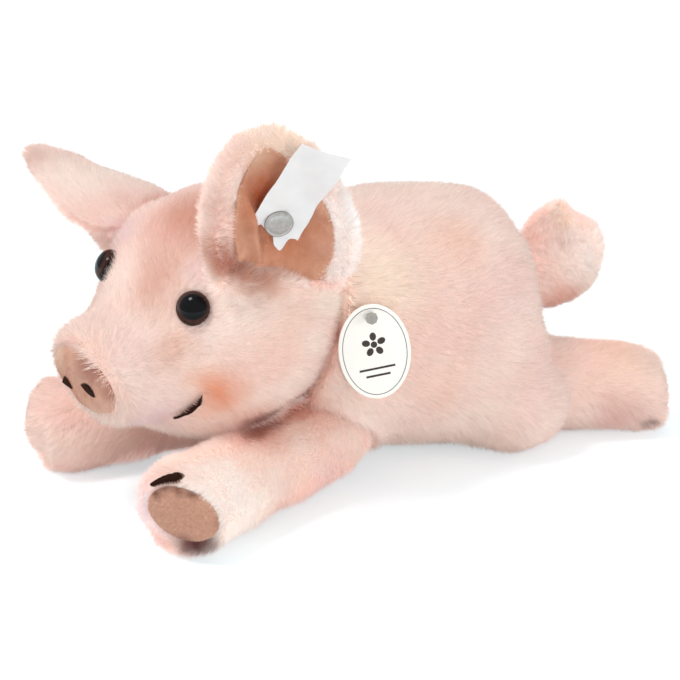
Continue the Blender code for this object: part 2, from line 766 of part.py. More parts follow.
def make_mouth(form, side, name):
    """A thread that lies along the muzzle."""
    points = []
    for row, angle in zip(MOUTH_ROWS, MOUTH_ANGLES):
        around = math.pi - angle if side > 0 else angle
        lift = MOUTH_RADIUS + FIT_GAP
        points.append(form.point(row, around) + form.normal(row, around) * lift)
    radii = [MOUTH_RADIUS * share for share in MOUTH_TAPER_SHARES]
    piece("mouth_stitch_" + name, tube(points, radii, TRIM_SIDES), "thread")


def oval(half_width, half_height, low, high, sides=FINE_SIDES):
    return moved(rod(1, low, high, sides), Matrix.Diagonal((half_width, half_height, 1, 1)))


def make_nose(form):
    middle, side, up = form.spine(SNOUT_REACH)
    frame = frame_at(middle, up.cross(side), up)
    low = FIT_GAP
    high = low + NOSE_THICKNESS
    pad = add("nose_pad", moved(oval(NOSE_HALF_WIDTH, NOSE_HALF_HEIGHT, low, high, NOSE_SIDES), frame))
    for across, name in ((1, "left"), (-1, "right")):
        shift = Matrix.Translation((across * NOSTRIL_OFFSET_SHARE * NOSE_HALF_WIDTH,
                                    -NOSTRIL_DROP_SHARE * NOSE_HALF_HEIGHT, 0))
        hole = oval(NOSTRIL_HALF_WIDTH + FIT_GAP, NOSTRIL_HALF_HEIGHT + FIT_GAP, -low, high + OVERRUN)
        cut(pad, moved(hole, frame @ shift))
        plug = oval(NOSTRIL_HALF_WIDTH, NOSTRIL_HALF_HEIGHT, low, high - FIT_GAP)
        plug_name = "nostril_" + (name if frame.to_3x3().col[0].x > 0 else OTHER_SIDE[name])
        piece(plug_name, moved(plug, frame @ shift), "dark")
    finish(pad, "velour")


def ear_room(place, side):
    """All the room that the head takes up, seen from an ear that flaps."""
    places = []
    for angle in EAR_FLAP:
        turn = Matrix.Translation(place) @ Matrix.Rotation(-angle, 4, side) @ Matrix.Translation(-place)
        places.append(moved(head_form().mesh("head", JOINT_GAP), turn))
    room = add("room", places[0])
    for mesh in places[1:]:
        combine(room, mesh, "UNION")
    return taken(room)


def make_ear(name, frame):
    """An ear cut free of the head at both ends of its flap, with its lining."""
    place, along, out, side = frame
    for kind, low, high, margin, title in (
            ("plush", -EAR_THICKNESS, 0, 0, "ear_"),
            ("lining", FIT_GAP, FIT_GAP + LINING_THICKNESS, LINING_MARGIN, "ear_lining_")):
        sheet = add(title + name, ear_sheet(frame, low, high, margin))
        cut(sheet, ear_room(place, side))
        keep_largest(sheet)
        if name == "left":
            cut(sheet, moved(rod(RIVET_SHANK_RADIUS + FIT_GAP, -RIVET_GRIP, RIVET_GRIP), label_frame()))
        finish(sheet, kind, place)


def keep_largest(obj):
    """Leaves only the largest body, where a cut has left scraps."""
    shape = bmesh.new()
    shape.from_mesh(obj.data)
    left = set(shape.verts)
    bodies = []
    while left:
        stack = [left.pop()]
        body = set(stack)
        while stack:
            for edge in stack.pop().link_edges:
                for vert in edge.verts:
                    if vert in left:
                        left.discard(vert)
                        body.add(vert)
                        stack.append(vert)
        bodies.append(body)
    bodies.sort(key=len)
    scraps = [vert for body in bodies[:-1] for vert in body]
    bmesh.ops.delete(shape, geom=scraps, context="VERTS")
    shape.to_mesh(obj.data)
    shape.free()


def left_ear_frame():
    return ear_frame(EAR_PLACE_LEFT, EAR_AXIS_LEFT, EAR_HOLLOW_LEFT)


def right_ear_frame():
    return ear_frame(EAR_PLACE_RIGHT, EAR_AXIS_RIGHT, EAR_HOLLOW_RIGHT)


def label_frame():
    """The rivet's place on the lining, with Z out of the label and Y along it."""
    place, along, out, side = left_ear_frame()
    seat = ear_point(left_ear_frame(), RIVET_REACH, RIVET_ACROSS, FIT_GAP + LINING_THICKNESS)
    run = along * math.cos(LABEL_LEAN) + side * math.sin(LABEL_LEAN)
    return frame_at(seat + out * LABEL_LIFT, out, run)


def label_strip():
    """A strip that lies flat about the rivet and bends out above it."""
    places = [(-LABEL_TAIL, 0)]
    for i in range(LABEL_STEPS):
        share = i / (LABEL_STEPS - 1)
        run = LABEL_FLAT + (LABEL_LENGTH - LABEL_TAIL - LABEL_FLAT) * share
        places.append((run, (run - LABEL_FLAT) * math.tan(LABEL_BEND)))
    verts = []
    for run, lift in places:
        for across in (-LABEL_HALF_WIDTH, LABEL_HALF_WIDTH):
            verts += [Vector((across, run, lift)), Vector((across, run, lift + LABEL_THICKNESS))]
    faces = [(0, 1, 3, 2)]
    for i in range(LABEL_STEPS):
        a = i * 4
        faces += [(a, a + 2, a + 6, a + 4), (a + 1, a + 5, a + 7, a + 3)]
        faces += [(a, a + 4, a + 5, a + 1), (a + 2, a + 3, a + 7, a + 6)]
    last = LABEL_STEPS * 4
    faces.append((last, last + 2, last + 3, last + 1))
    return mesh_of("strip", verts, faces)


def make_label():
    """The satin strip, the rivet through it and the ear, and the rivet's back plate."""
    frame = label_frame()
    strip = add("ear_label", moved(label_strip(), frame))
    cut(strip, moved(rod(RIVET_SHANK_RADIUS + FIT_GAP, -OVERRUN, OVERRUN), frame))
    finish(strip, "satin", frame.translation)
    under = LABEL_THICKNESS + FIT_GAP
    back = -RIVET_GRIP
    profile = [(0, back), (RIVET_SHANK_RADIUS, back), (RIVET_SHANK_RADIUS, under), (RIVET_RADIUS, under)]
    for i in range(1, EYE_RINGS):
        angle = math.pi / 2 * i / EYE_RINGS
        profile.append((RIVET_RADIUS * math.cos(angle), under + RIVET_HEIGHT * math.sin(angle)))
    profile.append((0, under + RIVET_HEIGHT))
    finish(add("ear_rivet", moved(turned(profile, FINE_SIDES), frame)), "metal")
    plate = add("rivet_washer", moved(rod(RIVET_RADIUS, back, back + WASHER_THICKNESS), frame))
    cut(plate, moved(rod(RIVET_SHANK_RADIUS + FIT_GAP, back - OVERRUN, back + OVERRUN), frame))
    finish(plate, "metal")


def make_leg(name, form, joint, cleft_angle, swings):
    """A leg's bag with its filling, sole and cleft."""
    bag = pressed(name, form, joint, 0, swings)
    root = form.rows[0][0]
    pole = form.spine(root)[0]
    middle, side, up = form.spine(form.rows[-1][0])
    direction = (middle - pole).normalized()
    hole = rod(-root * LEG_HOLE_SHARE, -OVERRUN, CLOTH + OVERRUN, TRIM_SIDES)
    inner = pressed("inner", form, joint, -CLOTH, swings)
    cut(bag, taken(inner), moved(hole, frame_at(pole, direction, up)), floor_block())
    last = len(form.rows) - 1
    points = []
    for i in range(CLEFT_POINTS):
        share = i / (CLEFT_POINTS - 1)
        row = last - CLEFT_ROWS * (1 - share) - CLEFT_SHORT_ROWS * share
        points.append(form.point(row, cleft_angle))
    cut(bag, tube(points, [CLEFT_RADIUS + FIT_GAP] * CLEFT_POINTS, TRIM_SIDES, FIT_GAP * 2))
    finish(bag, "plush", joint)
    cleft = tube(points, [CLEFT_RADIUS] * CLEFT_POINTS, TRIM_SIDES)
    piece(name.replace("leg", "cleft"), cleft, "dark", joint)
    finish(pressed(name + "_stuffing", form, joint, -CLOTH - FIT_GAP, swings), "filling", joint)
    half_width, rise = form.rows[-1][1:3]
    pad = oval(half_width, rise, FIT_GAP, FIT_GAP + PAD_THICKNESS)
    piece(name.replace("leg", "sole"), moved(pad, frame_at(middle, direction, up)), "pad", joint)


def make_legs():
    for side, name in ((1, "left"), (-1, "right")):
        make_leg("front_leg_" + name, front_leg_form(side), front_joint(side),
                 FRONT_CLEFT_ANGLE, (FRONT_SWING[0],))
        under = HIND_CLEFT_ANGLE if side < 0 else math.pi - HIND_CLEFT_ANGLE
        make_leg("hind_leg_" + name, hind_leg_form(side), hind_joint(side), under, ())


def make_tail():
    points = tail_path()
    last = len(points) - 1
    radii = [TAIL_RADIUS * (1 - (1 - TAIL_TIP_SHARE) * i / last) for i in range(last + 1)]
    tail = add("tail", tube(points, radii, TAIL_SIDES))
    combine(tail, ball(TAIL_JOINT, TAIL_BALL_RADIUS, FINE_SIDES), "UNION")
    finish(tail, "plush", TAIL_JOINT)


def tag_frame():
    """The tag's hole, with Z away from the torso and Y up the card."""
    form = torso_form()
    out = form.normal(TAG_ROW, TAG_ANGLE)
    touch = form.point(TAG_ROW, TAG_ANGLE)
    up = Vector((0, 0, 1))
    up = (up - out * up.dot(out)).normalized()
    hole = touch + out * (FIT_GAP + TAG_THICKNESS / 2) + up * TAG_RISE
    return frame_at(hole, out, up)


def make_tag():
    """The card, and the pin that it hangs on."""
    frame = tag_frame()
    half = TAG_THICKNESS / 2
    card = oval(TAG_HALF_WIDTH, TAG_HALF_HEIGHT, -half, half, TORSO_SIDES)
    drop = TAG_HALF_HEIGHT - TAG_HOLE_DROP
    card = add("hang_tag", moved(card, frame @ Matrix.Translation((0, -drop, 0))))
    cut(card, moved(rod(TAG_HOLE_RADIUS, -OVERRUN, OVERRUN), frame))
    finish(card, "card", frame.translation)
    top = TAG_HEAD_RISE
    under = top - TAG_THICKNESS
    low = -TAG_ANCHOR_DEPTH
    above = low + TAG_THICKNESS
    profile = [(0, low), (TAG_ANCHOR_RADIUS, low), (TAG_ANCHOR_RADIUS, above), (TAG_PIN_RADIUS, above),
               (TAG_PIN_RADIUS, under), (TAG_HEAD_RADIUS, under), (TAG_HEAD_RADIUS, top), (0, top)]
    finish(add("tag_pin", moved(turned(profile, TRIM_SIDES), frame)), "plastic")


def main():
    clear_scene()
    make_torso()
    make_head()
    make_ear("left", left_ear_frame())
    make_ear("right", right_ear_frame())
    make_label()
    make_legs()
    make_tail()
    make_tag()


main()
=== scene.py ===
# A plush pig that lies on its belly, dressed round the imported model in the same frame.
# The sections follow the toy as it is put together: body, head, legs, tail, ears, then the trim.
import itertools
import json
import math

import bpy
import numpy as np
from mathutils import Matrix, Vector
from mathutils.bvhtree import BVHTree

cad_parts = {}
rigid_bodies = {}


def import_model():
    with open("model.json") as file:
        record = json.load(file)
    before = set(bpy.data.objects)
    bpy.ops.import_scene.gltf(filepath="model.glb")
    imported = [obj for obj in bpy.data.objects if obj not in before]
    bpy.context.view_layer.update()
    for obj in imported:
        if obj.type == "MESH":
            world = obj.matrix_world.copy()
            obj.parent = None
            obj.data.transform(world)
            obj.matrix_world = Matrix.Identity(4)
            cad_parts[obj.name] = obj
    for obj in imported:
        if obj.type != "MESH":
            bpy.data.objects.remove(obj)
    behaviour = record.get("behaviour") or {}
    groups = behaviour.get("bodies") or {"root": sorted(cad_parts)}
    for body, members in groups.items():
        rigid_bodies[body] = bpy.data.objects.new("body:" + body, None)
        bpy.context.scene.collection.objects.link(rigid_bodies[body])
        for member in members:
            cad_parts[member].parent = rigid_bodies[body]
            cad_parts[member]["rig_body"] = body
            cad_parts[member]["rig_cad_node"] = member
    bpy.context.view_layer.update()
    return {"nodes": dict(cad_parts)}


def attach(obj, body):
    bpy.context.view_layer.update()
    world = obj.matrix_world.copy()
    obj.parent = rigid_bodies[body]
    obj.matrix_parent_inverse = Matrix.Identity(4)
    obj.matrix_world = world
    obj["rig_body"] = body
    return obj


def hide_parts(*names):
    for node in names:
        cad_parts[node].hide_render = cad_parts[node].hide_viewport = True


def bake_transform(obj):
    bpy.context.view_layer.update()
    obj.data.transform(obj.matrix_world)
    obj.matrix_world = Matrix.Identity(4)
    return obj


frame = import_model()

# Camera, floor and lamps
# The camera stands where the photograph was taken from. The floor is white to the eye and keeps
# the toy's shadow, and six soft lamps stand round it.
CAMERA_AZIMUTH = math.radians(58)
CAMERA_ELEVATION = math.radians(23)
CAMERA_DISTANCE = 0.9
CAMERA_LENS = 134.3
CAMERA_TARGET = Vector((-0.003989, -0.045874, 0.04))
FLOOR_SIZE = 8.0
FLOOR_GLOW = 0.46
BACKDROP_GLOW = 1.5
SOFT_LIGHT = 0.51

scene = bpy.context.scene
scene.view_settings.view_transform = "Standard"
towards_camera = Vector((
    math.sin(CAMERA_AZIMUTH) * math.cos(CAMERA_ELEVATION),
    -math.cos(CAMERA_AZIMUTH) * math.cos(CAMERA_ELEVATION),
    math.sin(CAMERA_ELEVATION),
))


def placed(name, data):
    """A new object of the scene, with this mesh, curve, lamp or camera."""
    obj = bpy.data.objects.new(name, data)
    scene.collection.objects.link(obj)
    return obj


lens = bpy.data.cameras.new("camera")
lens.lens = CAMERA_LENS
lens.sensor_width = 36
lens.clip_start = 0.01
camera = placed("camera", lens)
camera.location = CAMERA_TARGET + towards_camera * CAMERA_DISTANCE
camera.rotation_euler = (-towards_camera).to_track_quat("-Z", "Y").to_euler()
scene.camera = camera
camera_turn = camera.rotation_euler.to_matrix()
GLOW_NEAR = 0.25
GLOW_FAR = 0.60


def feed(node, inputs):
    """Gives a node's inputs, by name or number, a plain value or another node's output."""
    for name, value in inputs.items():
        if isinstance(value, bpy.types.NodeSocket):
            node.id_data.links.new(value, node.inputs[name])
        else:
            node.inputs[name].default_value = value


def made(tree, kind, inputs, output=0, **settings):
    """One output of a new node with these inputs and settings."""
    node = tree.nodes.new(kind)
    for name, value in settings.items():
        setattr(node, name, value)
    feed(node, inputs)
    return node.outputs[output]


def object_place(tree):
    return made(tree, "ShaderNodeTexCoord", {}, "Object")


def ranged(tree, value, low=0.0, high=1.0, to_low=0.0, to_high=1.0, **settings):
    """A value carried from one range to another."""
    ends = dict(enumerate((value, low, high, to_low, to_high)))
    return made(tree, "ShaderNodeMapRange", ends, "Result", **settings)


def maths(tree, operation, first, second):
    return made(tree, "ShaderNodeMath", {0: first, 1: second}, operation=operation)


def seen_straight(tree):
    """1 for what the camera sees straight, in a reflection or through glass, and 0 for light."""
    rays = tree.nodes.new("ShaderNodeLightPath").outputs
    both = maths(tree, "MAXIMUM", rays["Is Camera Ray"], rays["Is Glossy Ray"])
    return maths(tree, "MAXIMUM", both, rays["Is Transmission Ray"])


def new_material(name, roughness, sheen=0.0, specular=0.5, metallic=0.0):
    """A material with its plain values on its shader."""
    material = bpy.data.materials.new(name)
    material.use_nodes = True
    shader = material.node_tree.nodes["Principled BSDF"]
    feed(shader, {"Roughness": roughness, "Sheen Weight": sheen, "Specular IOR Level": specular,
                  "Metallic": metallic})
    return material, material.node_tree, shader


def started(name, add, **settings):
    """A new primitive, as the one selected object."""
    bpy.ops.object.select_all(action="DESELECT")
    add(**settings)
    obj = bpy.context.active_object
    obj.name = name
    return obj


floor = started("floor", bpy.ops.mesh.primitive_plane_add, size=FLOOR_SIZE)
paper, tree, shader = new_material("white paper", 0.95, specular=0.0)
from_toy = made(tree, "ShaderNodeVectorMath", {0: object_place(tree)}, "Value", operation="LENGTH")
fade = ranged(tree, from_toy, GLOW_NEAR, GLOW_FAR, FLOOR_GLOW, BACKDROP_GLOW)
glow = maths(tree, "MULTIPLY", seen_straight(tree), fade)
feed(shader, {"Base Color": (0.88, 0.88, 0.88, 1), "Emission Color": (0.72, 0.93, 1, 1),
              "Emission Strength": glow})
floor.data.materials.append(paper)

world = bpy.data.worlds.new("studio")
world.use_nodes = True
scene.world = world
tree = world.node_tree
level = ranged(tree, seen_straight(tree), to_low=SOFT_LIGHT)
feed(tree.nodes["Background"], {"Color": (1, 1, 1, 1), "Strength": level})


def soft_lamp(name, across, up, back, level, size=0.7, distance=1.2, glints=False):
    """A square lamp, placed by how far it is to the camera's right, above and behind it. Its
    level is what it adds to a white surface that faces it."""
    lamp = bpy.data.lights.new(name, "AREA")
    lamp.size = size
    lamp.energy = level * math.pi ** 2 * distance ** 2
    holder = placed(name, lamp)
    holder.visible_glossy = glints
    way = (camera_turn @ Vector((across, up, back))).normalized()
    holder.location = CAMERA_TARGET + way * distance
    holder.rotation_euler = (-way).to_track_quat("-Z", "Y").to_euler()


soft_lamp("key lamp", -0.45, 0.80, 0.55, 0.36, size=0.3, glints=True)
soft_lamp("top lamp", 0.10, 1.00, -0.15, 0.16)
soft_lamp("low front lamp", 0.30, -0.30, 1.00, 0.20, size=0.3)
soft_lamp("right lamp", 0.95, 0.05, 0.45, 0.20, size=0.4)
soft_lamp("left lamp", -1.00, 0.05, 0.35, 0.20, size=0.4)
soft_lamp("back lamp", 0.20, 0.40, -1.00, 0.20)

# Plush cloth of the torso
# Short-haired plush, sewn as a bag and filled. The cloth is the solid's own shape drawn in by
# the height of the pile, and the pile stands on it hair by hair, leaning back along the nap.
PLUSH_CREAM = (251, 231, 219)
PLUSH_PINK = (248, 214, 203)
PLUSH_PEACH = (248, 201, 178)
PLUSH_LILAC = (245, 215, 211)
PLUSH_ROOT_SHADE = (246, 196, 178)
HEAD_MIDDLE = Vector((0.0, -0.099, 0.067))
HEAD_SIDE = Vector((0.9925, 0.1219, 0.0))


def paint(red, green, blue):
    """A colour as seen on a screen, in the linear values that a material takes."""
    shares = [v / 255 for v in (red, green, blue)]
    return tuple(v / 12.92 if v < 0.04045 else ((v + 0.055) / 1.055) ** 2.4 for v in shares) + (1,)


def mirrored(spot):
    """The same spot on the other side of the face."""
    spot = Vector(spot)
    return tuple(spot - HEAD_SIDE * (2 * (spot - HEAD_MIDDLE).dot(HEAD_SIDE)))


def mixed(tree, share, first, second, **settings):
    """One colour over another; each is a node's output or a plain colour."""
    return made(tree, "ShaderNodeMix", {0: share, 6: first, 7: second}, 2, data_type="RGBA", **settings)


def scaled(tree, colour, amount):
    return made(tree, "ShaderNodeVectorMath", {0: colour, "Scale": amount}, operation="SCALE")


def cloudy(tree, place, scale, detail=2.0, output="Fac"):
    """Soft noise, its scale in clouds to the metre."""
    return made(tree, "ShaderNodeTexNoise", {"Vector": place, "Scale": scale, "Detail": detail}, output)


def spots_over(tree, place, colour, spots):
    """Soft round spots of colour, each (middle, radius, colour, strength): airbrushed tones, and painted
    light and shade.
    """
    for middle, radius, tint, strength in spots:
        away = made(tree, "ShaderNodeVectorMath", {0: place, 1: middle}, "Value", operation="DISTANCE")
        share = ranged(tree, away, 0.0, radius, strength, 0.0, interpolation_type="SMOOTHSTEP")
        colour = mixed(tree, share, colour, paint(*tint))
    return colour


def wandering(tree, size, amount):
    """Object coordinates pushed about by noise, so that painted edges aren't drawn with a compass."""
    place = object_place(tree)
    noise = cloudy(tree, place, 1 / size, output="Color")
    push = made(tree, "ShaderNodeVectorMath", {0: noise, 1: (0.5, 0.5, 0.5)}, operation="SUBTRACT")
    return made(tree, "ShaderNodeVectorMath", {0: place, 1: scaled(tree, push, amount)}, operation="ADD")


def colour_group(name, *inputs):
    """A new group of nodes that puts out a colour, and what comes into it."""
    group = bpy.data.node_groups.new(name, "ShaderNodeTree")
    for socket in inputs:
        group.interface.new_socket(socket, in_out="INPUT", socket_type="NodeSocketFloat")
    group.interface.new_socket("Colour", in_out="OUTPUT", socket_type="NodeSocketColor")
    return group, group.nodes.new("NodeGroupInput").outputs


def put_out(group, colour, shine):
    """Closes a group: its colour, brighter or darker from hair to hair."""
    feed(group.nodes.new("NodeGroupOutput"), {"Colour": scaled(group, colour, shine)})


def bumped(tree, shader, height, distance, strength=1.0):
    """Fine relief in a surface."""
    relief = made(tree, "ShaderNodeBump", {"Height": height, "Distance": distance, "Strength": strength})
    feed(shader, {"Normal": relief})


def attribute(tree, name):
    """A number that the mesh carries from corner to corner."""
    return made(tree, "ShaderNodeAttribute", {}, "Fac", attribute_name=name)


def cloth_and_pile(cloth_name, pile_name, group, roughness, sheen, pile_sheen, knit, relief, **ends):
    """A cloth and its pile in one group's colours. ends are the group's inputs on the cloth. A hair seen from
    its back is given painted light: it glows as the lit pile round it does, because no lamp reaches it."""
    cloth, tree, shader = new_material(cloth_name, roughness, sheen=sheen, specular=0.1)
    feed(shader, {"Base Color": made(tree, "ShaderNodeGroup", ends, node_tree=group)})
    bumped(tree, shader, cloudy(tree, object_place(tree), knit), relief)
    pile, tree, shader = new_material(pile_name, 0.85, sheen=pile_sheen, specular=0.1)
    carried = {name: attribute(tree, name.lower()) for name in ends}
    colour = made(tree, "ShaderNodeGroup", carried, node_tree=group)
    dimmed = made(tree, "ShaderNodeVectorMath", {0: colour, 1: BACK_HAIR_PAINTED_LIGHT}, operation="MULTIPLY")
    glow = scaled(tree, dimmed, made(tree, "ShaderNodeNewGeometry", {}, "Backfacing"))
    feed(shader, {"Base Color": colour, "Emission Color": glow, "Emission Strength": 1.0})
    pile.cycles.emission_sampling = "NONE"
    return cloth, pile


# Painted light on the backs of hairs, as a share of the pile's colour
BACK_HAIR_PAINTED_LIGHT = (0.455, 0.482, 0.510)

# Airbrushed colour, and painted light and shade, each spot (middle, radius, colour, strength). A later spot
# lies over an earlier one. The spots of the face are repeated on its far side.
EYE_SPOTS = [
    ((0.0292, -0.1278, 0.0686), 0.011, (222, 178, 158), 0.55),
    ((0.0270, -0.1330, 0.0660), 0.011, (224, 182, 164), 0.50),
    ((0.0248, -0.1156, 0.0914), 0.011, (226, 196, 198), 0.60),
    ((0.0300, -0.1170, 0.0720), 0.010, (244, 226, 224), 0.60),
]
BLUSH = ((0.0350, -0.1175, 0.0490), 0.0165, (236, 148, 106), 0.88)
CHIN = ((0.0228, -0.1345, 0.0410), 0.018, (232, 206, 212), 0.70)
EAR_BASE = ((0.0370, -0.1090, 0.0920), 0.009, (172, 110, 88), 0.70)
EAR_FRONT = ((0.0385, -0.1160, 0.0975), 0.008, (178, 116, 94), 0.65)
FACE_SPOTS = EYE_SPOTS + [BLUSH, CHIN, EAR_BASE]
PLUSH_SPOTS = [
    # Head, then back, flank and haunch
    ((0.0058, -0.1103, 0.1028), 0.030, (213, 150, 130), 0.90),
    ((0.0125, -0.1300, 0.0860), 0.020, (212, 160, 142), 0.80),
    ((0.0210, -0.1400, 0.0650), 0.018, (236, 208, 204), 0.60),
    # Painted shade low on the hind leg
    ((0.0500, 0.0380, 0.0120), 0.016, (222, 176, 168), 0.80),
    ((0.0125, -0.1446, 0.0717), 0.020, PLUSH_PINK, 0.50),
    ((0.0419, -0.0938, 0.0709), 0.022, (252, 218, 202), 0.60),
    ((0.0357, -0.0529, 0.0777), 0.026, (253, 236, 214), 0.80),
    ((0.0265, -0.0183, 0.0851), 0.020, (247, 198, 176), 0.60),
    ((0.0197, 0.0055, 0.0846), 0.022, (249, 222, 212), 0.60),
    ((0.0465, -0.0371, 0.0339), 0.024, (243, 194, 178), 0.40),
    ((0.0464, 0.0055, 0.0237), 0.022, PLUSH_LILAC, 0.40),
    ((0.0428, -0.0018, 0.0619), 0.022, PLUSH_LILAC, 0.50),
    # Painted shade in the crease under the chin, then lighter colour round it and along the back
    ((0.0322, -0.1010, 0.0330), 0.018, (222, 154, 134), 0.75),
    ((0.0318, -0.1040, 0.0325), 0.0060, (146, 80, 62), 0.80),
    ((0.0290, -0.0995, 0.0335), 0.0070, (118, 50, 34), 0.90),
    ((0.0285, -0.0930, 0.0338), 0.0075, (126, 58, 42), 0.90),
    ((0.0280, -0.0874, 0.0342), 0.0075, (166, 98, 80), 0.80),
    ((0.0275, -0.0817, 0.0345), 0.0080, (200, 130, 110), 0.70),
    ((0.0479, -0.1131, 0.0275), 0.0110, (238, 184, 160), 0.55),
    # Painted light on the belly, which lies in shade
    ((0.0384, -0.0480, 0.0221), 0.0200, (250, 222, 214), 0.55),
    ((0.0333, -0.0711, 0.0736), 0.0120, (255, 240, 224), 0.90),
    ((0.0108, -0.0182, 0.0920), 0.0260, (252, 226, 214), 0.55),
    ((0.0409, -0.0779, 0.0140), 0.0140, (246, 222, 218), 0.60),
    ((0.0534, -0.1257, 0.0258), 0.0120, (255, 255, 252), 0.90),
    # Tail, edge of the upright ear, cream with a painted highlight, the near front leg, cream with painted
    # light on its shaded underside, and painted shade below its sole
    ((0.0080, 0.0431, 0.0730), 0.0100, (255, 246, 234), 0.95),
    ((0.0086, 0.0463, 0.0450), 0.0080, (214, 156, 138), 0.80),
    ((0.0513, -0.0797, 0.1059), 0.0160, (255, 255, 254), 1.00),
    # Painted shade at the end of the crease under the chin
    ((0.0304, -0.0800, 0.0333), 0.016, (226, 166, 146), 0.50),
    ((0.0520, -0.1230, 0.0240), 0.026, (255, 245, 236), 0.90),
    # Painted light on the near leg's shaded underside
    ((0.0560, -0.1150, 0.0110), 0.024, (255, 244, 234), 0.90),
    ((0.0524, -0.1198, 0.0092), 0.024, (255, 252, 246), 1.00),
    ((0.0500, -0.1290, 0.0230), 0.020, (255, 250, 244), 1.00),
    ((0.0390, -0.1467, 0.0184), 0.018, (248, 232, 234), 1.00),
    # Painted shade below the near sole, where the foot meets the floor
    ((0.0475, -0.1380, 0.0080), 0.0080, (122, 66, 62), 0.85),
    ((0.0505, -0.1350, 0.0076), 0.0090, (78, 30, 30), 0.95),
    ((0.0545, -0.1330, 0.0095), 0.0080, (88, 38, 38), 0.90),
    # Upright ear, from its back to its front edge; its back edge is cream plush with a painted highlight on
    # the rim
    ((0.0521, -0.0771, 0.1107), 0.022, (255, 253, 250), 1.00),
    ((0.0497, -0.0775, 0.0943), 0.020, (255, 251, 246), 1.00),
    ((0.0440, -0.0960, 0.1360), 0.022, (255, 236, 216), 0.90),
    ((0.0381, -0.1188, 0.1162), 0.013, (224, 190, 180), 0.80),
    ((0.0377, -0.1199, 0.1035), 0.010, (190, 132, 112), 0.85),
    ((0.0370, -0.1145, 0.0980), 0.010, (180, 120, 100), 0.90),
    ((0.0362, -0.1085, 0.0920), 0.010, (174, 112, 90), 0.90),
    ((0.0356, -0.1020, 0.0880), 0.010, (176, 112, 88), 0.85),
    ((0.0372, -0.0960, 0.0860), 0.008, (206, 144, 118), 0.70),
    # Edge of the cheek at the neck, then tail, hind foot and drooping ear
    ((0.0368, -0.0783, 0.0763), 0.010, (255, 238, 222), 0.80),
    ((0.0386, -0.0811, 0.0632), 0.010, (255, 236, 222), 0.80),
    ((0.0370, -0.0872, 0.0496), 0.010, (255, 232, 218), 0.70),
    ((0.0335, -0.0705, 0.0600), 0.007, (226, 160, 140), 0.70),
    ((0.0060, 0.0411, 0.0715), 0.007, (248, 200, 172), 0.60),
    ((0.0070, 0.0400, 0.0440), 0.014, (224, 162, 144), 0.80),
    ((0.0080, 0.0560, 0.0600), 0.022, (255, 244, 236), 0.95),
    ((0.0549, 0.0480, 0.0072), 0.0050, (56, 38, 32), 0.95),
    ((-0.0680, -0.1305, 0.1020), 0.014, (212, 174, 160), 0.75),
    ((0.0429, 0.0432, 0.0330), 0.026, PLUSH_PEACH, 0.60),
    EAR_FRONT,
] + FACE_SPOTS + [(mirrored(s[0]),) + s[1:] for s in FACE_SPOTS]


plush_colour, ends = colour_group("plush colour", "Height", "Hair")
place = wandering(plush_colour, 0.012, 0.010)
patches = ranged(plush_colour, cloudy(plush_colour, place, 1 / 0.045, 3), 0.38, 0.62)
colour = mixed(plush_colour, patches, paint(*PLUSH_PINK), paint(*PLUSH_CREAM))
colour = spots_over(plush_colour, place, colour, PLUSH_SPOTS)
# Painted shade deep in the pile: each hair darkens towards a deeper salmon at its root
depth = ranged(plush_colour, ends["Height"], 0.0, 0.8, 0.42, 0.0)
colour = mixed(plush_colour, depth, colour, paint(*PLUSH_ROOT_SHADE), blend_type="MULTIPLY")
put_out(plush_colour, colour, ranged(plush_colour, ends["Hair"], to_low=0.90, to_high=1.08))
plush_cloth, plush_pile = cloth_and_pile("plush cloth", "plush pile", plush_colour, roughness=0.95, sheen=0.0,
                                         pile_sheen=0.15, knit=1800, relief=0.0004, Height=0.1, Hair=0.5)


def lone(obj):
    """Makes this the one selected and active object."""
    bpy.ops.object.select_all(action="DESELECT")
    obj.select_set(True)
    bpy.context.view_layer.objects.active = obj


def apply_all(obj):
    lone(obj)
    for modifier in list(obj.modifiers):
        bpy.ops.object.modifier_apply(modifier=modifier.name)


def mended(obj, merge=0.0, outwards=True):
    """Merges doubled corners, and turns the faces outwards."""
    lone(obj)
    bpy.ops.object.mode_set(mode="EDIT")
    bpy.ops.mesh.select_all(action="SELECT")
    if merge:
        bpy.ops.mesh.remove_doubles(threshold=merge)
    if outwards:
        bpy.ops.mesh.normals_make_consistent(inside=False)
    bpy.ops.object.mode_set(mode="OBJECT")


def moved(obj, places):
    obj.data.vertices.foreach_set("co", places.ravel())
    obj.data.update()


def outer_shell_only(obj):
    """Takes away what a remesh leaves inside: all that isn't joined to the outermost corner."""
    lone(obj)
    outermost = max(obj.data.vertices, key=lambda v: v.co.z).index
    bpy.ops.object.mode_set(mode="EDIT")
    bpy.ops.mesh.select_all(action="DESELECT")
    bpy.ops.object.mode_set(mode="OBJECT")
    obj.data.vertices[outermost].select = True
    bpy.ops.object.mode_set(mode="EDIT")
    bpy.ops.mesh.select_linked()
    bpy.ops.mesh.select_all(action="INVERT")
    bpy.ops.mesh.delete(type="VERT")
    bpy.ops.object.mode_set(mode="OBJECT")


SEAM_REACH = 0.008


def snug(obj, solids, sink):
    """Brings the cloth back out where it meets the next part, so that their piles close the seam."""
    corners = []
    faces = []
    for name in solids:
        mesh = frame["nodes"][name].data
        first = len(corners)
        corners += [corner.co for corner in mesh.vertices]
        faces += [tuple(first + k for k in face.vertices) for face in mesh.polygons]
    solid = BVHTree.FromPolygons(corners, faces)
    places, facing = corners_of(obj)
    away = np.array([solid.find_nearest(Vector(place), SEAM_REACH)[3] or SEAM_REACH for place in places])
    share = np.clip(1 - away / SEAM_REACH, 0, 1)
    places += facing * (sink * share * share * (3 - 2 * share))[:, None]
    moved(obj, places)


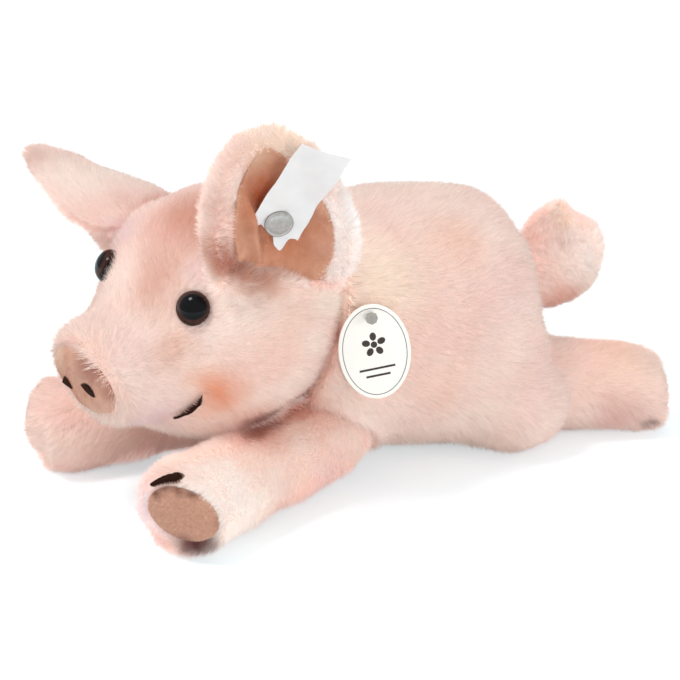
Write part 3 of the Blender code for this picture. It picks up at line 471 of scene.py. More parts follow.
def swelling(middle, across, along=(0, 1, 0), out=(0, 0, 1)):
    """A ball stretched by across (three half widths) along its own axes, to be joined to a bag."""
    ball = started("swelling", bpy.ops.mesh.primitive_uv_sphere_add, segments=48, ring_count=24, radius=1)
    along, out = Vector(along).normalized(), Vector(out).normalized()
    side = along.cross(out).normalized()
    out = side.cross(along)
    size = Matrix.Diagonal((*across, 1))
    ball.data.transform(Matrix.Translation(middle) @ Matrix((side, along, out)).transposed().to_4x4() @ size)
    return ball


def cloth_from(name, nodes, grid, sink, rounds, beside=(), swellings=()):
    """One closed skin round copies of these solids, remeshed, drawn in by sink and smoothed."""
    swellings = [swelling(*form) for form in swellings]
    bpy.ops.object.select_all(action="DESELECT")
    for ball in swellings:
        ball.select_set(True)
    for node in nodes:
        copy = frame["nodes"][node].copy()
        copy.data = copy.data.copy()
        copy.parent = None
        copy.data.materials.clear()
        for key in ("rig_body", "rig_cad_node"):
            del copy[key]
        scene.collection.objects.link(copy)
        copy.select_set(True)
        bpy.context.view_layer.objects.active = copy
    if len(nodes) + len(swellings) > 1:
        bpy.ops.object.join()
    obj = bpy.context.active_object
    obj.name = name
    obj.data.name = name
    mended(obj, merge=0.00001, outwards=False)
    remesh = obj.modifiers.new("Remesh", "REMESH")
    remesh.mode = "VOXEL"
    remesh.voxel_size = grid
    remesh.use_smooth_shade = True
    apply_all(obj)
    outer_shell_only(obj)
    draw_in = obj.modifiers.new("Draw in", "DISPLACE")
    draw_in.strength = -sink
    draw_in.mid_level = 0
    even = obj.modifiers.new("Even out", "SMOOTH")
    even.factor = 0.5
    even.iterations = rounds
    apply_all(obj)
    if beside:
        snug(obj, beside, sink * 1.1)
    bpy.ops.object.shade_smooth()
    return obj


def corners_of(obj):
    """Places and normals of a mesh's corners."""
    count = len(obj.data.vertices)
    places = np.empty(count * 3)
    facing = np.empty(count * 3)
    obj.data.vertices.foreach_get("co", places)
    obj.data.vertices.foreach_get("normal", facing)
    return places.reshape(-1, 3), facing.reshape(-1, 3)


def away_from_line(places, line):
    """How far each place is from a line through these points."""
    line = np.array(line, float)
    nearest = np.full(len(places), np.inf)
    for start, end in zip(line[:-1], line[1:]):
        run = end - start
        share = np.clip((places - start) @ run / (run @ run), 0, 1)
        gap = np.linalg.norm(places - start - share[:, None] * run, axis=1)
        nearest = np.minimum(nearest, gap)
    return nearest


def fold(obj, line, depth, width):
    """Pushes the cloth in along a line, or out where depth is below zero."""
    places, facing = corners_of(obj)
    push = depth * np.exp(-(away_from_line(places, line) / width) ** 2)
    places -= facing * push[:, None]
    moved(obj, places)


def in_oval(places, middle, side, up, half_width, half_height):
    """How far out each place is in an oval: 0 in its middle and 1 on its rim."""
    gap = places - middle
    return np.hypot(gap @ side / half_width, gap @ up / half_height)


def one_long(vectors):
    return vectors / np.maximum(np.linalg.norm(vectors, axis=1), 1e-9)[:, None]


def unit(vector):
    return one_long(np.array([vector]))[0]


def wander(places, size, seed):
    """Smooth numbers, mostly between -1 and 1, that change over about this size."""
    rng = np.random.default_rng(seed)
    waves = rng.normal(size=(7, 3)) * 2.2 / size
    turns = rng.random(7) * 2 * math.pi
    return np.sin(places @ waves.T + turns).sum(1) / 2.4


def to_tuft(places, size):
    """From each root to the middle of the tuft that its hair leans to."""
    cell = np.floor(places / size)
    scatter = np.array(((127.1, 269.5, 113.5), (311.7, 183.3, 271.9), (74.7, 246.1, 124.6)))
    best = np.full(len(places), np.inf)
    pull = np.zeros_like(places)
    for step in itertools.product((-1, 0, 1), repeat=3):
        corner = cell + step
        spread = np.sin(corner @ scatter) * 43758.5453
        gap = (corner + spread - np.floor(spread)) * size - places
        far = (gap ** 2).sum(1)
        nearer = far < best
        best[nearer] = far[nearer]
        pull[nearer] = gap[nearer]
    return pull


def carry(mesh, name, values):
    """Lays a number on each of a mesh's corners, for its material."""
    mesh.attributes.new(name, "FLOAT", "POINT").data.foreach_set("value", values)


HAIR_LENGTH = 0.0044
HAIR_WIDTH = 0.00028
HAIR_LEAN = math.radians(57)
HAIR_BURIED = 0.05
TUFT_SIZE = 0.0019
TUFT_PULL = 0.45
TUFT_SHADE = 0.55
FLOOR_CLEAR = 0.0002


def lay_pile(name, cloth, body, count, nap, seed, material, keep=None, length=HAIR_LENGTH,
             stretch=None, width=HAIR_WIDTH, lean=HAIR_LEAN, tuft=TUFT_SIZE, settle=None, stand=None):
    """Hairs all over a cloth, leaning along its nap. keep thins them out, stretch gives their share of the
    full length, stand raises them out of their lean, and settle moves the tips that something presses down.
    Each hair has the cloth's own normals, so that the pile is lit as a soft surface and not as slivers. A
    pile without a body is attached to none."""
    rng = np.random.default_rng(seed)
    places, facing = corners_of(cloth)
    cloth.data.calc_loop_triangles()
    corners = np.empty(len(cloth.data.loop_triangles) * 3, int)
    cloth.data.loop_triangles.foreach_get("vertices", corners)
    corners = corners.reshape(-1, 3)
    a, b, c = (places[corners[:, k]] for k in range(3))
    weight = np.linalg.norm(np.cross(b - a, c - a), axis=1)
    if keep is not None:
        weight = weight * np.clip(keep(places), 0, 1)[corners].mean(1)
    chosen = np.searchsorted(np.cumsum(weight), rng.random(count) * weight.sum())
    share = rng.random((count, 2))
    over = share.sum(1) > 1
    share[over] = 1 - share[over]
    s, t = share[:, :1], share[:, 1:]
    root = a[chosen] * (1 - s - t) + b[chosen] * s + c[chosen] * t
    na, nb, nc = (facing[corners[chosen, k]] for k in range(3))
    out = one_long(na * (1 - s - t) + nb * s + nc * t)
    along = nap(root, out)
    along = one_long(along - out * (along * out).sum(1)[:, None])
    swirl = 0.30 * wander(root, 0.014, seed) + rng.normal(0, 0.22, count)
    side = np.cross(along, out)
    along = along * np.cos(swirl)[:, None] + side * np.sin(swirl)[:, None]
    slope = lean + 0.14 * wander(root, 0.008, seed + 1) + rng.normal(0, 0.14, count)
    if stand is not None:
        slope = slope - stand(root)
    reach = length * (1 + 0.10 * wander(root, 0.010, seed + 2) + rng.uniform(-0.30, 0.18, count))
    if stretch is not None:
        reach = reach * stretch(root)
    pull = to_tuft(root, tuft)
    pull -= out * (pull * out).sum(1)[:, None]
    tip = root + (out * np.cos(slope)[:, None] + along * np.sin(slope)[:, None]) * reach[:, None]
    tip += pull * TUFT_PULL
    if settle is not None:
        tip = settle(root, tip, out)
    tip[:, 2] = np.maximum(tip[:, 2], FLOOR_CLEAR)
    roll = rng.normal(0, 0.35, count)
    across = np.cross(along, out) * np.cos(roll)[:, None] + out * np.sin(roll)[:, None]
    base = root - out * (HAIR_BURIED * length)
    half = across * (width / 2) * rng.uniform(0.7, 1.3, count)[:, None]
    verts = np.stack((base - half, base + half, tip), 1)
    verts[:, :, 2] = np.maximum(verts[:, :, 2], FLOOR_CLEAR)
    shade = one_long(out - pull / tuft * TUFT_SHADE + along * 0.12 + rng.normal(0, 0.16, (count, 3)))
    turned = (np.cross(verts[:, 1] - verts[:, 0], verts[:, 2] - verts[:, 0]) * shade).sum(1) < 0
    verts[turned] = verts[turned][:, (1, 0, 2)]

    mesh = bpy.data.meshes.new(name)
    mesh.vertices.add(count * 3)
    mesh.vertices.foreach_set("co", verts.ravel())
    mesh.loops.add(count * 3)
    mesh.loops.foreach_set("vertex_index", np.arange(count * 3))
    mesh.polygons.add(count)
    mesh.polygons.foreach_set("loop_start", np.arange(0, count * 3, 3))
    mesh.update(calc_edges=True)
    mesh.normals_split_custom_set_from_vertices(np.repeat(shade, 3, axis=0))
    carry(mesh, "height", np.tile((0.0, 0.0, 1.0), count))
    carry(mesh, "hair", np.repeat(rng.random(count), 3))

    # Each hair has its own cell of the OFBake map
    cells = math.ceil(math.sqrt(count))
    cell = np.stack((np.arange(count) % cells, np.arange(count) // cells), 1)
    spread = np.array(((0.1, 0.1), (0.9, 0.1), (0.5, 0.9)))
    mapped = (cell[:, None, :] + spread[None]) / cells
    mesh.uv_layers.new(name="OFBake").data.foreach_set("uv", mapped.ravel())
    hairs = placed(name, mesh)
    hairs.visible_shadow = False
    hairs.visible_diffuse = False
    mesh.materials.append(material)
    if body:
        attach(hairs, body)
    return hairs


def fitted(obj, body, material, slot, *nodes):
    """A finished piece: its material, the solids that it stands for and the body that it rides on."""
    obj.data.materials.clear()
    obj.data.materials.append(material)
    if nodes:
        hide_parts(*nodes)
    if body:
        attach(obj, body)


def stuffed(obj, body, material, slot, fill, *nodes):
    """A filled bag that stands for its cloth, its filling and the like."""
    fitted(obj, body, material, slot, *nodes)


HAUNCH_SIZE = (0.0195, 0.0215, 0.0180)
HAUNCHES = [((0.0335, 0.0030, 0.0190), HAUNCH_SIZE), ((-0.0335, 0.0030, 0.0190), HAUNCH_SIZE)]
HAUNCH_CREASE = ((0.049, -0.014, 0.052), (0.050, -0.020, 0.038), (0.048, -0.024, 0.024),
                 (0.040, -0.026, 0.008))
RUMP_FLATTENED = 0.0035
torso = cloth_from("torso_plush", ("torso_cover", "torso_stuffing", "bean_bag"), grid=0.0015, sink=0.0022,
                   rounds=12, beside=("head_cover", "tail", "front_leg_left", "front_leg_right"),
                   swellings=HAUNCHES)
places, _ = corners_of(torso)
upper_rump = np.clip(places[:, 1] / 0.020, 0, 1) * np.clip((places[:, 2] - 0.036) / 0.014, 0, 1)
places[:, 1] -= RUMP_FLATTENED * upper_rump
moved(torso, places)
fold(torso, HAUNCH_CREASE, depth=0.0022, width=0.006)
stuffed(torso, None, plush_cloth, "plush", 0.8, "torso_cover", "torso_stuffing", "bean_bag")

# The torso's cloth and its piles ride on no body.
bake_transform(torso)

CARD_HOLE = np.array((0.041723, -0.062854, 0.068714))
CARD_ACROSS, CARD_UP, CARD_OUT = np.array((
    (0.29694, 0.94938, 0.10245), (-0.22040, -0.03626, 0.97474), (0.92911, -0.31202, 0.19847),
))
CARD_HALF_WIDTH = 0.0122
CARD_HALF_HEIGHT = 0.0160
CARD_HOLE_HEIGHT = 0.0120
CARD_MIDDLE = CARD_HOLE - CARD_UP * CARD_HOLE_HEIGHT


def torso_nap(root, out):
    """Back from the neck, and down the shoulders and flanks."""
    down = 0.25 + 0.55 * np.exp(-((root[:, 1] + 0.062) / 0.022) ** 2)
    return np.stack((np.zeros(len(root)), np.ones(len(root)), -down), 1)


def under_card(root, tip, out):
    """The card presses the pile under it flat."""
    far = in_oval(tip, CARD_MIDDLE, CARD_ACROSS, CARD_UP, CARD_HALF_WIDTH + 0.001,
                  CARD_HALF_HEIGHT + 0.001)
    over = np.clip((tip - CARD_MIDDLE) @ CARD_OUT + 0.0007, 0, 0.006) * (far < 1)
    return tip - CARD_OUT * over[:, None]


for part_name, part_seed in (("torso_pile_a", 11), ("torso_pile_b", 12)):
    pile = lay_pile(part_name, torso, None, 190000, torso_nap, part_seed, plush_pile,
                    settle=under_card)
    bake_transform(pile)

# Head
# The same plush, sewn to a long snout. The pile is short on the snout and grows longer on the
# cheeks, and it lies away from the nose.
NOSE_MIDDLE = np.array((0.006357, -0.150771, 0.053024))
EYES = (
    ("left", Vector((0.027835, -0.122606, 0.079921)), Vector((0.523, -0.76112, 0.38362))),
    ("right", Vector((-0.021297, -0.128639, 0.079921)), Vector((-0.32333, -0.86504, 0.38362))),
)
EYE_RADIUS = 0.0058
NOSE_ACROSS, NOSE_UP, NOSE_OUT = np.array((
    (0.99255, 0.12187, 0.0), (0.03154, -0.25689, 0.96593), (-0.11772, -0.95876, -0.25877),
))
MOUTH_LEFT = (
    (0.022212, -0.132911, 0.039921), (0.023035, -0.130006, 0.040097), (0.024902, -0.127166, 0.041178),
    (0.027601, -0.124482, 0.043540), (0.030180, -0.122490, 0.046820), (0.031967, -0.121627, 0.050240),
)
MOUTH_RIGHT = (
    (-0.013349, -0.137278, 0.039921), (-0.014850, -0.134658, 0.040097), (-0.017349, -0.132353, 0.041178),
    (-0.020617, -0.130402, 0.043540), (-0.023600, -0.129093, 0.046820), (-0.025543, -0.128688, 0.050240),
)
NOSE_HALF_WIDTH = 0.0160
NOSE_HALF_HEIGHT = 0.0118

EAR_RIDGES = [
    ((0.0350, -0.1000, 0.0864), (0.0045, 0.0150, 0.0048), (0.53, 0.848, -0.10)),
    ((0.0352, -0.1085, 0.0892), (0.0045, 0.0062, 0.0048), (0.53, 0.848, -0.40)),
    ((-0.0290, -0.1085, 0.0864), (0.0045, 0.0150, 0.0048), (-0.30, 0.95, -0.10)),
]
head = cloth_from("head_plush", ("head_cover", "head_stuffing"), grid=0.0014, sink=0.0022, rounds=12,
                  beside=("torso_cover", "ear_left", "ear_right"), swellings=EAR_RIDGES)


SEAT_DEPTH = 0.0012
SEAT_SPREAD = 0.45


def seat_for(obj, middle, side, up, out, half_width, half_height):
    """Flattens the plush where an oval of velour is sewn in, and a little round it."""
    places, _ = corners_of(obj)
    far = in_oval(places, middle, side, up, half_width + 0.001, half_height + 0.001)
    proud = (places - middle) @ out
    share = np.clip((1 + SEAT_SPREAD - far) / SEAT_SPREAD, 0, 1) * (proud > -0.009)
    share = share * share * (3 - 2 * share)
    places -= out * ((proud + SEAT_DEPTH) * share)[:, None]
    moved(obj, places)


seat_for(head, NOSE_MIDDLE, NOSE_ACROSS, NOSE_UP, NOSE_OUT, NOSE_HALF_WIDTH - 0.004,
         NOSE_HALF_HEIGHT - 0.003)
stuffed(head, "head", plush_cloth, "plush", 0.85, "head_cover", "head_stuffing")


NOSE_RIM = 0.0130
RIM_REACH = 0.009


def near_nose(root):
    """1 at the nose pad's rim, 0 from RIM_REACH behind it."""
    return np.clip(1 - (np.linalg.norm(root - NOSE_MIDDLE, axis=1) - NOSE_RIM) / RIM_REACH, 0, 1)


def head_nap(root, out):
    """Away from the nose, and a little down the cheeks."""
    return one_long(root - (NOSE_MIDDLE + NOSE_OUT * 0.004)) + np.array((0, 0, -0.12))


def head_stand(root):
    """The pile stands up round the nose."""
    return 0.80 * near_nose(root)


def from_axis(places, middle, axis):
    """Places as seen along an axis: the step out from it, and how far out that is."""
    gap = places - np.array(middle)
    step = gap - (gap @ np.array(axis))[:, None] * np.array(axis)
    return step, np.linalg.norm(step, axis=1)


def face_keep(places):
    """No pile under the eyes, the nose pad and the mouths' stitches."""
    share = np.ones(len(places))
    for _, middle, axis in EYES:
        _, far = from_axis(places, middle, axis)
        share[(far < EYE_RADIUS * 0.90) & (np.linalg.norm(places - np.array(middle), axis=1) < 0.012)] = 0
    far = in_oval(places, NOSE_MIDDLE, NOSE_ACROSS, NOSE_UP, NOSE_HALF_WIDTH - 0.0003,
                  NOSE_HALF_HEIGHT - 0.0003)
    share[(far < 1) & ((places - NOSE_MIDDLE) @ NOSE_OUT > -0.008)] = 0
    for line in (MOUTH_LEFT, MOUTH_RIGHT):
        share[away_from_line(places, line) < 0.0022] *= 0.3
    return share


def face_stretch(root):
    """Short on the snout and at the mouth, and a little longer at the nose's rim."""
    far = np.linalg.norm(root - NOSE_MIDDLE, axis=1)
    share = 0.70 + 0.30 * np.clip((far - 0.010) / 0.035, 0, 1) + 0.30 * near_nose(root)
    for line in (MOUTH_LEFT, MOUTH_RIGHT):
        share *= 0.55 + 0.45 * np.clip((away_from_line(root, line) - 0.002) / 0.004, 0, 1)
    return share


def round_eyes(root, tip, out):
    """Hairs part round the eyes and don't cross them."""
    for _, middle, axis in EYES:
        step, far = from_axis(tip, middle, axis)
        close = (far < EYE_RADIUS + 0.0002) & (np.linalg.norm(tip - np.array(middle), axis=1) < 0.012)
        tip[close] += (step / far[:, None] * (EYE_RADIUS + 0.0003 - far)[:, None])[close]
    return tip


for part_name, part_seed in (("head_pile_a", 21), ("head_pile_b", 22)):
    lay_pile(part_name, head, "head", 150000, head_nap, part_seed, plush_pile, keep=face_keep,
             stretch=face_stretch, settle=round_eyes, stand=head_stand)

# Legs
# Four filled tubes of plush with a flat end, where the velour sole is sewn in. Each turns a
# little in its hollow in the body. The pile lies towards the foot.
LEGS = {
    "front_leg_left": ("left_front_leg", (0.042265, -0.140899, 0.0159), (0.019003, -0.054084, 0.019643)),
    "front_leg_right": ("right_front_leg", (-0.039508, -0.147224, 0.0159), (-0.017764, -0.060016, 0.019643)),
    "hind_leg_left": ("left_hind_leg", (0.045373, 0.059923, 0.0156), (0.014424, -0.003532, 0.021426)),
    "hind_leg_right": ("right_hind_leg", (-0.060995, 0.048363, 0.0156), (-0.009361, 0.000214, 0.021426)),
}
CLEFTS = {
    "front_leg_left": ((0.0462, -0.1372, 0.0318), (0.0385, -0.1450, 0.0268), (0.1, -0.45, 0.88)),
    "front_leg_right": ((-0.0450, -0.1440, 0.0312), (-0.0440, -0.1520, 0.0262), (-0.3, -0.4, 0.85)),
    "hind_leg_left": ((0.0515, 0.0560, 0.0040), (0.0485, 0.0610, 0.0046), (0.75, 0.35, -0.55)),
    "hind_leg_right": ((-0.0491, 0.0528, 0.0042), (-0.0532, 0.0545, 0.0055), (-0.3, 0.6, -0.7)),
}
PADS = {
    "front_leg_left": ((0.0483, -0.1383, 0.0184), (0.669, -0.743, 0.0), -16, 0.0123, 0.0090),
    "front_leg_right": ((-0.0466, -0.1449, 0.0184), (-0.669, -0.743, 0.0), 16, 0.0123, 0.0090),
    "hind_leg_left": ((0.045373, 0.059923, 0.0142), (0.43837, 0.89879, 0.0), 0, 0.0108, 0.0090),
    "hind_leg_right": ((-0.060995, 0.048363, 0.0142), (-0.73135, 0.682, 0.0), 0, 0.0108, 0.0090),
}
TOE_DROP = 0.0078


def pad_frame(leg_name):
    """Where a sole sits: its middle, its long and short axes, the way it faces, and half its sizes."""
    middle, out, turn, half_width, half_height = PADS[leg_name]
    middle, out = np.array(middle), unit(out)
    flat = np.cross((0, 0, 1.0), out)
    rise = np.cross(out, flat)
    angle = math.radians(turn)
    side = flat * math.cos(angle) + rise * math.sin(angle)
    up = rise * math.cos(angle) - flat * math.sin(angle)
    return middle, side, up, out, half_width, half_height


def sloping_toe(leg, sole, forwards):
    """A hind foot slopes off towards its sole."""
    places, _ = corners_of(leg)
    share = np.clip(((places - sole) @ forwards + 0.017) / 0.017, 0, 1.2) ** 2
    places[:, 2] -= TOE_DROP * share * np.clip((places[:, 2] - 0.010) / 0.022, 0, 1)
    moved(leg, places)


for number, (leg_name, (body, sole, pole)) in enumerate(LEGS.items()):
    leg = cloth_from(leg_name + "_plush", (leg_name, leg_name + "_stuffing"), grid=0.0011, sink=0.0020,
                     rounds=12, beside=("torso_cover",))
    sole = np.array(sole)
    forwards = sole - np.array(pole)
    forwards /= np.linalg.norm(forwards)
    if leg_name.startswith("hind"):
        sloping_toe(leg, sole, forwards)
    seat_for(leg, *pad_frame(leg_name))
    stuffed(leg, body, plush_cloth, "plush", 0.8, leg_name, leg_name + "_stuffing")

    def leg_nap(root, out, forwards=forwards):
        """Towards the foot, and a little down."""
        return np.tile(forwards, (len(root), 1)) + np.array((0, 0, -0.25))

    def leg_keep(places, leg_name=leg_name):
        """No pile under the sole and the cleft's stitches."""
        middle, side, up, out, half_width, half_height = pad_frame(leg_name)
        far = in_oval(places, middle, side, up, half_width - 0.0004, half_height - 0.0004)
        under_sole = (far < 1) & ((places - middle) @ out > -0.006)
        return 1.0 - under_sole - (away_from_line(places, CLEFTS[leg_name][:2]) < 0.0030)

    def leg_stretch(root, leg_name=leg_name):
        """Shorter round the sole."""
        middle, side, up, out, half_width, half_height = pad_frame(leg_name)
        far = in_oval(root, middle, side, up, half_width, half_height)
        return 1 - 0.45 * np.clip((1.5 - far) / 0.5, 0, 1) * ((root - middle) @ out > -0.010)

    lay_pile(leg_name + "_pile", leg, body, 80000, leg_nap, 31 + number, plush_pile, keep=leg_keep,
             stretch=leg_stretch)

# Tail
# A tapering roll of plush that curls up and over itself. The pile follows the curl to its tip.
TAIL_LINE = np.array((
    (0.0, 0.019, 0.0475), (0.0, 0.02833, 0.0475), (0.0, 0.03767, 0.0475), (0.0, 0.047, 0.0475),
    (0.00054, 0.05171, 0.04878), (0.00108, 0.05534, 0.05189), (0.00162, 0.05725, 0.05617),
    (0.00215, 0.05713, 0.06077), (0.00269, 0.05509, 0.06478), (0.00323, 0.0516, 0.06747),
    (0.00377, 0.04739, 0.06838), (0.00431, 0.04329, 0.06742), (0.00485, 0.04007, 0.06484),
    (0.00538, 0.03831, 0.06122), (0.00592, 0.03828, 0.05728), (0.00646, 0.03991, 0.05381),
    (0.007, 0.0428, 0.05143),
))
TAIL_ROLL = (
    (-0.0005, 0.0385, 0.0615, 0.0078), (0.0010, 0.0392, 0.0665, 0.0064), (0.0030, 0.0410, 0.0705, 0.0050),
    (0.0000, 0.0340, 0.0500, 0.0118), (0.0000, 0.0400, 0.0500, 0.0124), (0.0000, 0.0450, 0.0505, 0.0128),
    (0.0005, 0.0490, 0.0525, 0.0128), (0.0010, 0.0520, 0.0555, 0.0114), (0.0020, 0.0520, 0.0598, 0.0095),
    (0.0030, 0.0488, 0.0636, 0.0080), (0.0038, 0.0458, 0.0672, 0.0062), (0.0046, 0.0438, 0.0700, 0.0049),
    (0.0051, 0.0428, 0.0727, 0.0038), (0.0053, 0.0424, 0.0750, 0.0028), (0.0053, 0.0422, 0.0770, 0.0018),
)
TAIL_FOLDS = (
    (((0.0090, 0.0358, 0.0677), (0.0110, 0.0468, 0.0634), (0.0095, 0.0580, 0.0571), (0.0060, 0.0635, 0.0530)),
     0.0013, 0.0010),
    (((0.0080, 0.0400, 0.0712), (0.0105, 0.0460, 0.0685), (0.0095, 0.0520, 0.0660), (0.0075, 0.0590, 0.0620)),
     0.0011, 0.0009),
    (((0.0110, 0.0380, 0.0600), (0.0128, 0.0460, 0.0560), (0.0120, 0.0540, 0.0515)), 0.0008, 0.0010),
)
tail = cloth_from("tail_plush", (), grid=0.0008, sink=0.0010, rounds=8,
                  swellings=[((x, y, z), (size, size, size)) for x, y, z, size in TAIL_ROLL])
for line, depth, width in TAIL_FOLDS:
    fold(tail, line, depth, width)
stuffed(tail, "curl", plush_cloth, "plush", 0.7, "tail")


def tail_nap(root, out):
    """Along the nearest piece of the curl."""
    middles = (TAIL_LINE[1:] + TAIL_LINE[:-1]) / 2
    nearest = np.argmin(((root[:, None] - middles[None]) ** 2).sum(2), axis=1)
    return one_long(np.diff(TAIL_LINE, axis=0))[nearest]


lay_pile("tail_pile", tail, "curl", 60000, tail_nap, 41, plush_pile, length=0.0036,
         lean=math.radians(46))

# Ears
# Each is a cupped leaf of plush, sewn into the head at its root. Its edge rolls over to the front
# round a thin velour lining.
EARS = {
    "left": ((0.0355, -0.0925, 0.0905), (0.100059, -0.240141, 0.965567),
             (0.933179, -0.314039, -0.174806), (0.345204, 0.918538, 0.192672)),
    "right": ((-0.0345, -0.1045, 0.0920), (-0.865244, -0.452286, 0.216311),
              (-0.085443, -0.292116, -0.952559), (0.494017, -0.842677, 0.214107)),
}
EARS = {side_name: tuple(np.array(way) for way in ear) for side_name, ear in EARS.items()}
EAR_SHARES = (0.66, 0.86, 0.98, 1.00, 0.94, 0.81, 0.60, 0.27)
EAR_LENGTH = 0.049
EAR_ROOT = 0.010
EAR_HALF_WIDTH = 0.0245
EAR_CURL_RADIUS = 0.030
EAR_FRONT_MARGIN = 0.0090
EAR_BACK_MARGIN = 0.0055
RIGHT_EAR_FLATTER = 0.40
RIGHT_EAR_NARROWER = 0.34
EAR_ROOTS = {
    "left": [],
    "right": [((-0.0440, -0.1122, 0.0865), (0.0060, 0.0130, 0.0115), (-0.865, -0.452, 0.216),
               (-0.053, -0.675, -0.736))],
}


def ear_half_width(reach):
    """Half the leaf's width this far from the ear's joint, on one smooth curve."""
    share = np.clip((reach + EAR_ROOT) / (EAR_LENGTH + EAR_ROOT), 0, 1)
    return np.polyval(np.polyfit(np.linspace(0, 1, 8), EAR_SHARES, 5), share) * EAR_HALF_WIDTH


def slimmer(obj, ear):
    """The right ear is held more closed than the left: flatter, and narrower to its tip."""
    place, along, out, across = ear
    places, _ = corners_of(obj)
    gap = places - place
    share = np.clip((gap @ along - 0.006) / 0.040, 0, 1)
    places += out * (-(gap @ out) * RIGHT_EAR_FLATTER * np.clip(share * 2, 0, 1))[:, None]
    places += across * (-(gap @ across) * RIGHT_EAR_NARROWER * share ** 1.5)[:, None]
    moved(obj, places)


for number, (side_name, (place, along, out, across)) in enumerate(EARS.items()):
    ear = cloth_from("ear_plush_" + side_name, ("ear_" + side_name,), grid=0.0008, sink=0.0001, rounds=6,
                     swellings=EAR_ROOTS[side_name])
    stuffed(ear, side_name + "_ear", plush_cloth, "plush", 0.4, "ear_" + side_name)
    if side_name == "right":
        slimmer(ear, (place, along, out, across))

    def ear_nap(root, facing, place=place, along=along, across=across):
        """From the root to the tip, and out over the edge."""
        aside = (root - place) @ across / EAR_HALF_WIDTH
        return along[None] + across[None] * (aside * 0.7)[:, None]

    def ear_keep(places, place=place, along=along, out=out, across=across):
        """No pile behind the lining."""
        reach = (places - place) @ along
        aside = (places - place) @ across
        half = ear_half_width(reach)
        lift = EAR_CURL_RADIUS - np.sqrt(np.maximum(EAR_CURL_RADIUS ** 2 - aside ** 2, 0))
        proud = (places - place) @ out - lift
        front = (proud > -0.0018) & (proud < 0.0040)
        lined = (aside > EAR_FRONT_MARGIN + 0.0008 - half) & (aside < half - EAR_BACK_MARGIN - 0.0008)
        return 1.0 - (front & lined & (reach < EAR_LENGTH - 0.0042))

    lay_pile("ear_pile_" + side_name, ear, side_name + "_ear", 64000, ear_nap, 51 + number, plush_pile,
             keep=ear_keep, length=0.0042, lean=math.radians(44))

# Velour nose and soles
# Short velour cut to ovals, padded and sewn in flush with the plush round them. The soles carry painted shade
# on their lower edges and a painted shadow along their tops, where the plush overhangs them, and two dents
# take the nostrils.
VELOUR_TAN = (200, 146, 124)
VELOUR_LIGHT = (216, 170, 147)
SOLE_LOWER_SHADE = (128, 84, 72)


def spots_on(middle, first, second, rows):
    """Spots laid out on a piece's face, each row the ways along its two axes, then the spot's radius,
    colour and strength."""
    return [(tuple(middle + first * x + second * y), *look) for x, y, *look in rows]


def velour(name, light, dark, spots, mottle=0.004):
    """The cloth and the pile of a velour, in the same colours."""
    group, ends = colour_group(name + " colour", "Hair")
    place = wandering(group, 0.004, 0.003)
    worn = ranged(group, cloudy(group, place, 1 / mottle, 4), 0.35, 0.65)
    colour = spots_over(group, place, mixed(group, worn, paint(*dark), paint(*light)), spots)
    put_out(group, colour, ranged(group, ends["Hair"], to_low=0.86, to_high=1.10))
    return cloth_and_pile(name, name + " pile", group, roughness=0.9, sheen=0.2, pile_sheen=0.2, knit=2600,
                          relief=0.0003, Hair=0.4)


def set_in(obj, middle, across, up, out):
    """Puts a mesh made about the origin in its place, with X, Y and Z along these."""
    turn = Matrix((across, up, out)).transposed().to_4x4()
    obj.data.transform(Matrix.Translation(middle) @ turn)
    obj.data.update()


def domed_pad(name, half_width, half_height, rise, depth, dents=()):
    """A stuffed oval about the origin, with its edge tucked in and a dent for each of dents."""
    pad = started(name, bpy.ops.mesh.primitive_uv_sphere_add, segments=96, ring_count=64, radius=1)
    places, _ = corners_of(pad)
    far = np.clip(np.hypot(places[:, 0], places[:, 1]), 0, 1)
    crown = np.clip(1 - far ** 3.0, 0, 1) ** 0.6
    places[:, 2] = np.where(places[:, 2] > 0, crown * rise, -crown * depth)
    places[:, 0] *= half_width
    places[:, 1] *= half_height
    for x, y, radius, sunk in dents:
        gap = np.hypot(places[:, 0] - x, (places[:, 1] - y) * 0.8) / radius
        places[:, 2] -= np.where(places[:, 2] > 0, sunk * np.exp(-gap ** 4), 0)
    moved(pad, places)
    bpy.ops.object.shade_smooth()
    return pad


NOSTRILS = ((0.0050, -0.0008), (-0.0084, -0.0032))
NOSTRIL_HALF_WIDTH = 0.0034
NOSTRIL_HALF_HEIGHT = 0.0025
NOSE_RISE = 0.0034
nose_place = NOSE_MIDDLE + NOSE_OUT * 0.0002
nose_spots = spots_on(nose_place, NOSE_ACROSS, NOSE_UP, (
    (0.009, 0.010, 0.012, (150, 98, 88), 0.90),
    (0.016, 0.001, 0.008, (160, 108, 96), 0.70),
    (-0.012, 0.007, 0.009, (232, 204, 178), 0.60),
    (0.006, -0.011, 0.008, (226, 190, 168), 0.60),
))
nose_cloth, nose_pile = velour("nose velour", VELOUR_LIGHT, VELOUR_TAN, nose_spots)
nose = domed_pad("nose_velour", NOSE_HALF_WIDTH, NOSE_HALF_HEIGHT, NOSE_RISE, 0.0035,
                 [(x, y, NOSTRIL_HALF_WIDTH * 1.25, 0.0012) for x, y in NOSTRILS])
set_in(nose, nose_place, NOSE_ACROSS, NOSE_UP, NOSE_OUT)
stuffed(nose, "head", nose_cloth, "velour", 0.6, "nose_pad")


def short_nap(direction):
    """A nap that lies one way all over a piece."""
    def nap(root, out):
        return np.tile(np.array(direction, float), (len(root), 1))
    return nap


